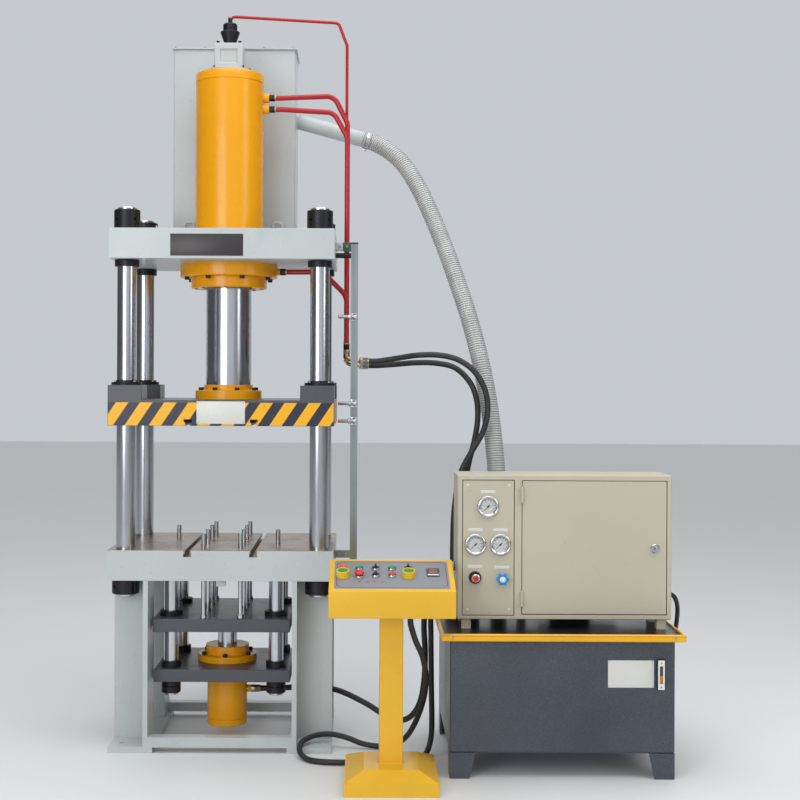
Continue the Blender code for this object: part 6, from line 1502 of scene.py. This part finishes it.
def needle(place, where):
    """A pointer with a counterweight, at rest on the zero mark."""
    low = DIAL_FACE + 0.0035
    rest = where @ Matrix.Rotation(math.radians(135), 4, "Z")
    blade = bar("blade", 0.0019, (0, -0.011, low + 0.0008), (0, 0.029, low + 0.0008), 4, end_radius=0.0003,
                where=rest)
    hub = bar("hub", 0.004, (0, 0, low - 0.0002), (0, 0, low + 0.0018), 32, 0.0004, where=where)
    dress(joined(f"pointer_{place}", [blade, hub]), "black plastic", f"needle_{place}_body",
          (f"needle_{place}",))


def knobs():
    """Fluted throttle knob with red centre over black rings, and the blue star knob with its white centre."""
    where = upright(THROTTLE[0], PANEL_FRONT, THROTTLE[1])
    body = lathe("throttle_body_turned", [
        (0, 0.040), (0.010, 0.040), (0.011, 0.0385), (0.015, 0.0385), (0.019, 0.036), (0.019, 0.018),
        (0.017, 0.016), (0.011, 0.014), (0.011, 0.0005), (0.007, 0.0005), (0.007, -0.013), (0, -0.013)],
                 where, 96)
    flutes = [bar("flute", 0.0011, (u, v, 0.015), (u, v, 0.037), 8, where=where) for u,
              v in circle(28, 0.0195, 0)]
    dress(cut(body, joined("flutes", flutes)), "polished", "throttle_body", ("throttle_knob",))
    ring = lathe("throttle_ring", [(0.0195, 0.017), (0.0205, 0.017), (0.0205, 0.013), (0.0112, 0.013),
                                   (0.0112, 0.017), (0.0195, 0.017)], where, 64)
    dress(ring, "black plastic", "throttle_body")
    dress(bar("throttle_centre", 0.0130, (0, 0, 0.0383), (0, 0, 0.0408), 48, 0.0004, where=where),
          "red plastic", "throttle_body")
    collar = lathe("throttle_base_ring", [(0.0125, 0.0004), (0.0125, 0.0080), (0.0140, 0.0090),
                                          (0.0250, 0.0090), (0.0270, 0.0070), (0.0275, 0.0004),
                                          (0.0125, 0.0004)], where, 64)
    dress(collar, "black plastic")
    where = upright(STAR[0], PANEL_FRONT, STAR[1])
    stem = bar("stem", 0.012, (0, 0, CLEAR), (0, 0, 0.024), 48, 0.001, where=where)
    shank = bar("shank", 0.007, (0, 0, -0.013), (0, 0, 0.001), 32, where=where)
    lobes = [bar("lobe", 0.0068, (u, v, 0.022), (u, v, 0.040), 32, 0.003, where=where) for u,
             v in circle(6, 0.0215, 0)]
    hub = lathe("hub", [(0, 0.040), (0.019, 0.040), (0.0225, 0.037), (0.0225, 0.025), (0.019, 0.022),
                        (0, 0.022)], where, 64)
    dress(joined("star_wheel", [stem, shank, hub, *lobes]), "blue plastic", "star_body",
          ("star_knob",))
    dress(bar("star_centre", 0.0125, (0, 0, 0.0396), (0, 0, 0.0408), 48, 0.0004, where=where),
          "white plastic", "star_body")


def motor():
    """Finned motor with end shields, fan cover, feet, and terminal box."""
    end = MOTOR_X0 + MOTOR_L
    axis = facing(0, MOTOR_Y, MOTOR_Z, (1, 0, 0))
    core = lathe("core", [
        (0, MOTOR_X0 - 0.004), (0.060, MOTOR_X0 - 0.004), (0.112, MOTOR_X0), (0.116, MOTOR_X0 + 0.004),
        (0.116, MOTOR_X0 + 0.026), (0.108, MOTOR_X0 + 0.030), (0.108, end - 0.084), (0.112, end - 0.080),
        (0.112, end + 0.018), (0.104, end + 0.030), (0, end + 0.030)], axis, 96)
    fin = block("fin", (0.104, -0.0016, MOTOR_X0 + 0.032), (0.1195, 0.0016, end - 0.088), 0.0006, where=HERE)
    turns = [axis @ Matrix.Rotation(math.tau * (index + 0.5) / FIN_COUNT, 4, "Z")
             for index in range(FIN_COUNT)]
    fins = spread("fins", fin, turns)

    def part(name, x0, x1, y, half, low, high, edge):
        """A block on the motor: its ends from the motor's own, and its middle and half width across."""
        return block(name, (MOTOR_X0 + x0, MOTOR_Y + y - half, low),
                     (MOTOR_X0 + x1, MOTOR_Y + y + half, high), edge)

    box = part("terminal_box", 0.070, 0.190, 0, 0.055, MOTOR_Z + 0.090, MOTOR_Z + 0.159, 0.004)
    lid = part("terminal_lid", 0.068, 0.192, 0, 0.057, MOTOR_Z + 0.158, MOTOR_Z + 0.165, 0.003)
    foot_top, feet = 0.630, []
    for sy in SIGNS:
        feet.append(part("foot", 0.040, 0.240, sy * 0.095, 0.020, UNIT_FOOT, foot_top, 0.003))
        feet.append(part("web", 0.060, 0.220, sy * 0.088, 0.007, foot_top - 0.003, MOTOR_Z - 0.030, 0.002))
    dress(joined("motor_body", [core, fins, box, lid, *feet]), "dark paint",
          replaces=("motor",))
    frames = [facing(MOTOR_X0 + dx, MOTOR_Y + sy * 0.100, foot_top) for dx in (0.055, 0.225) for sy in SIGNS]
    dress(spread("motor_bolts", hex_head(0.0085), frames), "zinc")


def pump():
    """Pump on its bell housing, with ports and a ring of screws."""
    face, neck_r = MOTOR_X0 - 0.004 - CLEAR, 0.052
    axis = facing(0, MOTOR_Y, MOTOR_Z, (1, 0, 0))
    body = lathe("pump_turned", [
        (0, face), (BELL_R, face), (BELL_R, face - 0.012), (0.078, face - 0.020), (neck_r, face - 0.056),
        (neck_r, face - 0.060), (PUMP_R, face - 0.061), (PUMP_R, PUMP_X0 + 0.008), (PUMP_R - 0.008, PUMP_X0),
        (0, PUMP_X0)], axis, 96)
    port_x, half = PUMP_X0 + 0.020, 0.020
    suction = bar("suction_port", 0.022, (port_x, MOTOR_Y, UNIT_FOOT), (port_x, MOTOR_Y, MOTOR_Z))
    low, high = (PUMP_X0 + 0.004, MOTOR_Y - half, MOTOR_Z), (PUMP_X0 + 0.040, MOTOR_Y + half, MOTOR_Z + 0.080)
    pressure = block("pressure_port", low, high, 0.003)
    dress(joined("pump_body", [body, suction, pressure]), "black oxide",
          replaces=("pump",))
    frames = around((face - 0.012, MOTOR_Y, MOTOR_Z), 0.078, 4, (-1, 0, 0))
    dress(spread("bell_screws", hex_head(0.007), frames), "zinc")


def valve_block():
    """Manifold block with two solenoid valves, plugs, and hose ports."""
    right, back, top = BLOCK_X0 + BLOCK_W, BLOCK_FRONT + BLOCK_D, UNIT_FOOT + BLOCK_H
    body = block("manifold", (BLOCK_X0, BLOCK_FRONT, UNIT_FOOT), (right, back, top), 0.003, 3)
    valves, coils, caps = [], [], []
    for y in (BLOCK_FRONT + 0.055, BLOCK_FRONT + 0.155):
        z = top + 0.024
        valves.append(block("spool_body", (BLOCK_X0 + 0.090, y - 0.022, top - 0.001),
                            (right - 0.010, y + 0.022, top + 0.048), 0.002))
        coils.append(bar("coil", 0.0216, (right - 0.012, y, z), (right + 0.034, y, z), 48, 0.002))
        caps.append(bar("coil_nut", 0.014, (right + 0.033, y, z), (right + 0.042, y, z), 6, 0.001))
    dress(joined("manifold_body", [body, *valves]), "dark paint",
          replaces=("valve_block",))
    dress(joined("solenoid_coils", coils), "red paint")
    dress(joined("coil_nuts", caps), "polished")
    ports = [bar("port", 0.0175, (x, y, top - 0.001), (x, y, PORT_TOP), 6, 0.001) for x, y in HOSE_PORTS]
    ports.append(bar("port", 0.0175, (BLOCK_X0 + 0.001, SIDE_PORT[1], SIDE_PORT[2]), SIDE_PORT, 6, 0.001))
    dress(joined("block_ports", ports), "zinc")
    frames = [upright(x, BLOCK_FRONT, z) for x in (BLOCK_X0 + 0.035, BLOCK_X0 + 0.110)
              for z in (0.650, 0.705)]
    dress(spread("block_plugs", socket_head(0.011, 0.004), frames), "zinc")


# Console


def console_stand():
    """The base and post keep their solid, with a weld bead round the post's foot."""
    paint_node("console_stand", "console paint")
    foot_z, half, front, back = 0.090, 0.050, -0.825, -0.725
    left, right = CONSOLE_X - half, CONSOLE_X + half
    corners = [(left, back, foot_z), (left, front, foot_z), (right, front, foot_z), (right, back, foot_z),
               (left, back + 0.0001, foot_z)]
    dress(tube("post_weld", bent_route(corners, 0.004, 3), 0.0025, 8), "console paint")


def console_box():
    """The desk: a sheet-metal shell with a grey control panel, its maroon line, red marks and counter."""
    bpy.ops.object.select_all(action="DESELECT")
    middle = (CONSOLE_X, CONSOLE_FRONT + CONSOLE_D / 2, CONSOLE_BOTTOM + CONSOLE_FRONT_H / 2)
    bpy.ops.mesh.primitive_cube_add(size=1, location=middle)
    shell = bpy.context.object
    shell.scale = (CONSOLE_W, CONSOLE_D, CONSOLE_FRONT_H)
    bpy.ops.object.transform_apply(location=False, rotation=False, scale=True)
    for vertex in shell.data.vertices:
        if vertex.co.y > 0 and vertex.co.z > 0:
            vertex.co.z += CONSOLE_BACK_H - CONSOLE_FRONT_H
    bevelled(shell, 0.003, 3)
    placed(shell, "console_shell", PRESS)
    gland = bar("gland", 0.020, (0.850, -0.800, 0.707), (0.850, -0.800, 0.722), 12, 0.001)
    dress(joined("console_shell", [shell, gland]), "console paint",
          replaces=("console_box",))
    half = CONSOLE_W / 2
    panel = block("control_panel", (-half + 0.022, 0.020, -0.001), (half - 0.022, 0.284, 0.0008), 0.0003,
                  where=DESK)
    dress(panel, "grey panel")
    right, low, high, corner = half - 0.032, 0.030, 0.274, 0.022
    outline = [(right, low + corner), (right, high - corner), (right - corner, high), (corner - right, high),
               (-right, high - corner), (-right, low + corner), (corner - right, low), (right - corner, low)]
    lines = []
    for (x0, y0), (x1, y1) in zip(outline, outline[1:] + outline[:1]):
        reach = math.hypot(x1 - x0, y1 - y0) / 2
        turn = Matrix.Rotation(math.atan2(y1 - y0, x1 - x0), 4, "Z")
        where = DESK @ Matrix.Translation(((x0 + x1) / 2, (y0 + y1) / 2, 0)) @ turn
        reach += 0.0006
        lines.append(block("line", (-reach, -0.0014, 0.0007), (reach, 0.0014, 0.0010), 0, where=where))
    dress(joined("panel_line", lines), "maroon")
    marks = [bar("mark", 0.0062, (u, 0.083, 0.0007), (u, 0.083, 0.0011), 32, where=DESK)
             for u in (-0.135, -0.102, -0.071, -0.039)]
    dress(joined("panel_marks", marks), "red plastic")
    frames = [DESK @ Matrix.Translation((x, y, 0.0008)) for x in (-half + 0.026, half - 0.026)
              for y in (0.024, 0.280)]
    dress(spread("panel_corner_screws", slotted_head(0.003), frames), "zinc")
    counter()


def counter():
    """The counter at the panel's right: dark frame and face, red display, four grey keys and a white lip."""
    u, v, top = 0.175, 0.17, 0.006

    def part(name, u0, u1, v0, v1, low, high, edge=0.0006):
        """A block on the panel, its sides from the counter's middle and its faces from the counter's top."""
        return block(name, (u + u0, v + v0, top + low), (u + u1, v + v1, top + high), edge, where=DESK)

    dress(part("counter_frame", -0.0262, 0.0262, -0.0362, 0.0362, -top, 0.0003, 0.0015), "dark plastic")
    dress(part("counter_face", -0.021, 0.021, -0.031, 0.031, 0, 0.0012), "dark plastic")
    dress(part("counter_display", -0.017, 0.017, 0.008, 0.022, 0.0008, 0.0018, 0.0004), "red plastic")
    keys = [part("key", left, left + 0.0080, -0.016, 0.003, 0.0008, 0.0024)
            for left in (-0.0182, -0.0088, 0.0006, 0.0100)]
    dress(joined("counter_keys", keys), "mid plastic")
    dress(part("counter_lip", -0.0235, 0.0235, -0.0345, -0.0250, 0, 0.0020), "white plastic")


OPERATORS = {
    (0, 0): ("power_lamp_button", "button", "orange plastic", False),
    (0, 1): ("start_button", "button", "green plastic", False),
    (0, 2): ("mode_selector", "selector", "black plastic", False),
    (0, 3): ("return_button", "button", "green plastic", False),
    (0, 4): ("ejector_selector", "selector", "black plastic", False),
    (1, 0): ("left_press_button", "button", "green plastic", True),
    (1, 1): ("emergency_stop", "mushroom", "red plastic", False),
    (1, 2): ("motor_selector", "selector", "black plastic", False),
    (1, 3): ("stop_button", "button", "red plastic", False),
    (1, 4): ("right_press_button", "button", "green plastic", True),
}


def operator(name, kind, color, guarded, u, v):
    """One operator: chrome collar on the panel, and the moving button, mushroom or selector in it."""
    where = DESK @ Matrix.Translation((u, v, 0))
    inner, height = 0.0149, COLLAR_H if kind == "mushroom" or guarded else 0.0115
    collar = lathe(f"{name}_collar", [(inner, 0.0005), (inner, height - 0.0005), (0.0156, height + 0.0002),
                                      (COLLAR_R - 0.0015, height - 0.0004), (COLLAR_R, height - 0.003),
                                      (COLLAR_R + 0.0004, 0.0005), (inner, 0.0005)], where, 64)
    dress(collar, "polished")
    if guarded:
        guard = lathe(f"{name}_guard", [(0.0215, 0.0010), (0.0225, 0.0290), (0.0235, 0.0300),
                                        (0.0255, 0.0300), (0.0265, 0.0290), (0.0270, 0.0010),
                                        (0.0215, 0.0010)], where, 96)
        dress(guard, "yellow plastic")
    seat = COLLAR_H + CLEAR
    body = f"{name}_body"
    if kind == "mushroom":
        made = lathe(name + "_cap", [(0, seat + 0.020), (0.010, seat + 0.0195), (0.0175, seat + 0.0165),
                                     (0.021, seat + 0.012), (0.0205, seat + 0.009), (0.018, seat + 0.008),
                                     (0.010, seat + 0.008), (0.010, seat + 0.001), (0.006, seat + 0.001),
                                     (0.006, -0.010), (0, -0.010)], where, 64)
        dress(made, color, body, (name,))
    elif kind == "selector":
        base = lathe("base", [(0, seat + 0.008), (0.0125, seat + 0.008), (0.0145, seat + 0.006),
                              (0.0145, seat), (0.006, seat), (0.006, -0.014), (0, -0.014)],
                     where, 64)
        grip = block("grip", (-0.004, -0.0135, seat + 0.006), (0.004, 0.0135, seat + 0.020), 0.0015, 3,
                     where=where)
        dress(joined(name + "_handle", [base, grip]), color, body, (name,))
        mark = block(name + "_mark", (-0.0008, 0.004, seat + 0.0195), (0.0008, 0.0125, seat + 0.0204), 0.0002,
                     where=where)
        dress(mark, "white plastic", body)
    else:
        stem = [(0.0135, seat + 0.001), (0.006, seat + 0.001), (0.006, -0.010), (0, -0.010)]
        if guarded:
            top = [(0, 0.0290), (0.012, 0.0286), (0.0190, 0.0274), (0.0205, 0.0258), (0.0205, 0.0215),
                   (0.0135, 0.0205)]
        elif color == "orange plastic":
            top = [(0, seat + 0.0150), (0.008, seat + 0.0147), (0.0124, seat + 0.0136),
                   (0.0135, seat + 0.0120)]
        else:
            top = [(0, seat + 0.0075), (0.008, seat + 0.0080), (0.0122, seat + 0.0090),
                   (0.0135, seat + 0.0078)]
        made = lathe(name + "_cap", top + stem, where, 64)
        dress(made, color, body, (name,))


def operators():
    for (row, place), (name, kind, color, guarded) in OPERATORS.items():
        operator(name, kind, color, guarded, BUTTON_COLUMNS[place], BUTTON_ROWS[row])


# Picture


def camera():
    lens = bpy.data.cameras.new("operator's view")
    lens.lens, lens.sensor_width = LENS, 36
    lens.shift_x, lens.shift_y = SHIFT
    view = bpy.data.objects.new("operator's view", lens)
    view.matrix_world = upright(*EYE) @ Matrix.Rotation(ROLL, 4, "Z")
    bpy.context.scene.collection.objects.link(view)
    bpy.context.scene.camera = view


def lamp(name, place, aim, size, power, color=(1, 1, 1)):
    light = bpy.data.lights.new(name, "AREA")
    light.shape, light.size, light.size_y = "RECTANGLE", *size
    light.energy, light.color = power, color
    made = bpy.data.objects.new(name, light)
    made.location = place
    made.rotation_euler = (Vector(aim) - Vector(place)).to_track_quat("-Z", "Y").to_euler()
    bpy.context.scene.collection.objects.link(made)


def studio():
    """Pale floor, soft ceiling light, and a pale surround."""
    bpy.ops.object.select_all(action="DESELECT")
    bpy.ops.mesh.primitive_plane_add(size=60, location=(0, 0, -0.0005))
    ground = bpy.context.object
    ground.name = ground.data.name = "studio_floor"
    ground.data.materials.append(MATERIALS["floor"].material)
    lamp("ceiling lamp", (0.2, -1.0, 6.5), (0, 0.2, 1.0), (6, 6), 230)
    lamp("front lamp", (-3.0, -6.0, 2.6), (-0.2, 0, 0.9), (3.0, 3.0), 115)
    lamp("side lamp", (4.6, -3.0, 3.4), (0.2, 0, 1.1), (2.0, 3.0), 45)
    surround()
    bpy.context.scene.view_settings.view_transform = "Standard"


def surround():
    """An even pale backdrop for the camera. Surfaces see a room that is dark at its sides only."""
    world = bpy.data.worlds.new("pale surround")
    bpy.context.scene.world = world
    world.use_nodes = True
    nodes, links = world.node_tree.nodes, world.node_tree.links
    backdrop = nodes["Background"]
    backdrop.inputs["Color"].default_value = (0.80, 0.84, 0.88, 1)
    backdrop.inputs["Strength"].default_value = 0.70
    room = nodes.new("ShaderNodeBackground")
    room.inputs["Color"].default_value = (0.84, 0.86, 0.88, 1)
    split = nodes.new("ShaderNodeSeparateXYZ")
    links.new(nodes.new("ShaderNodeNewGeometry").outputs["Incoming"], split.inputs[0])
    sideways = nodes.new("ShaderNodeMath")
    sideways.operation = "ABSOLUTE"
    links.new(split.outputs["X"], sideways.inputs[0])
    ahead = nodes.new("ShaderNodeMapRange")
    for socket, value in (("From Min", 0.45), ("From Max", 0.80), ("To Min", 0.85), ("To Max", 0.12)):
        ahead.inputs[socket].default_value = value
    links.new(sideways.outputs[0], ahead.inputs["Value"])
    links.new(ahead.outputs["Result"], room.inputs["Strength"])
    seen = nodes.new("ShaderNodeMixShader")
    links.new(nodes.new("ShaderNodeLightPath").outputs["Is Camera Ray"], seen.inputs[0])
    links.new(room.outputs[0], seen.inputs[1])
    links.new(backdrop.outputs[0], seen.inputs[2])
    links.new(seen.outputs[0], nodes["World Output"].inputs["Surface"])


def build():
    camera()
    hoses()
    hose_ends()
    paint_node("base_frame", "grey paint")
    for name, x, y in column_places():
        column(name, x, y)
    crown()
    lifting_eyes()
    table()
    slide()
    cylinder()
    ram()
    prefill_valve()
    top_tank()
    pipes()
    pipe_clamp()
    pipe_feet()
    rail()
    for place, z in SWITCH_Z.items():
        limit_switch(place, z)
    ejector()
    oil_tank()
    tray()
    cabinet()
    door_lock()
    dials()
    knobs()
    motor()
    pump()
    valve_block()
    console_stand()
    console_box()
    operators()
    studio()


build()
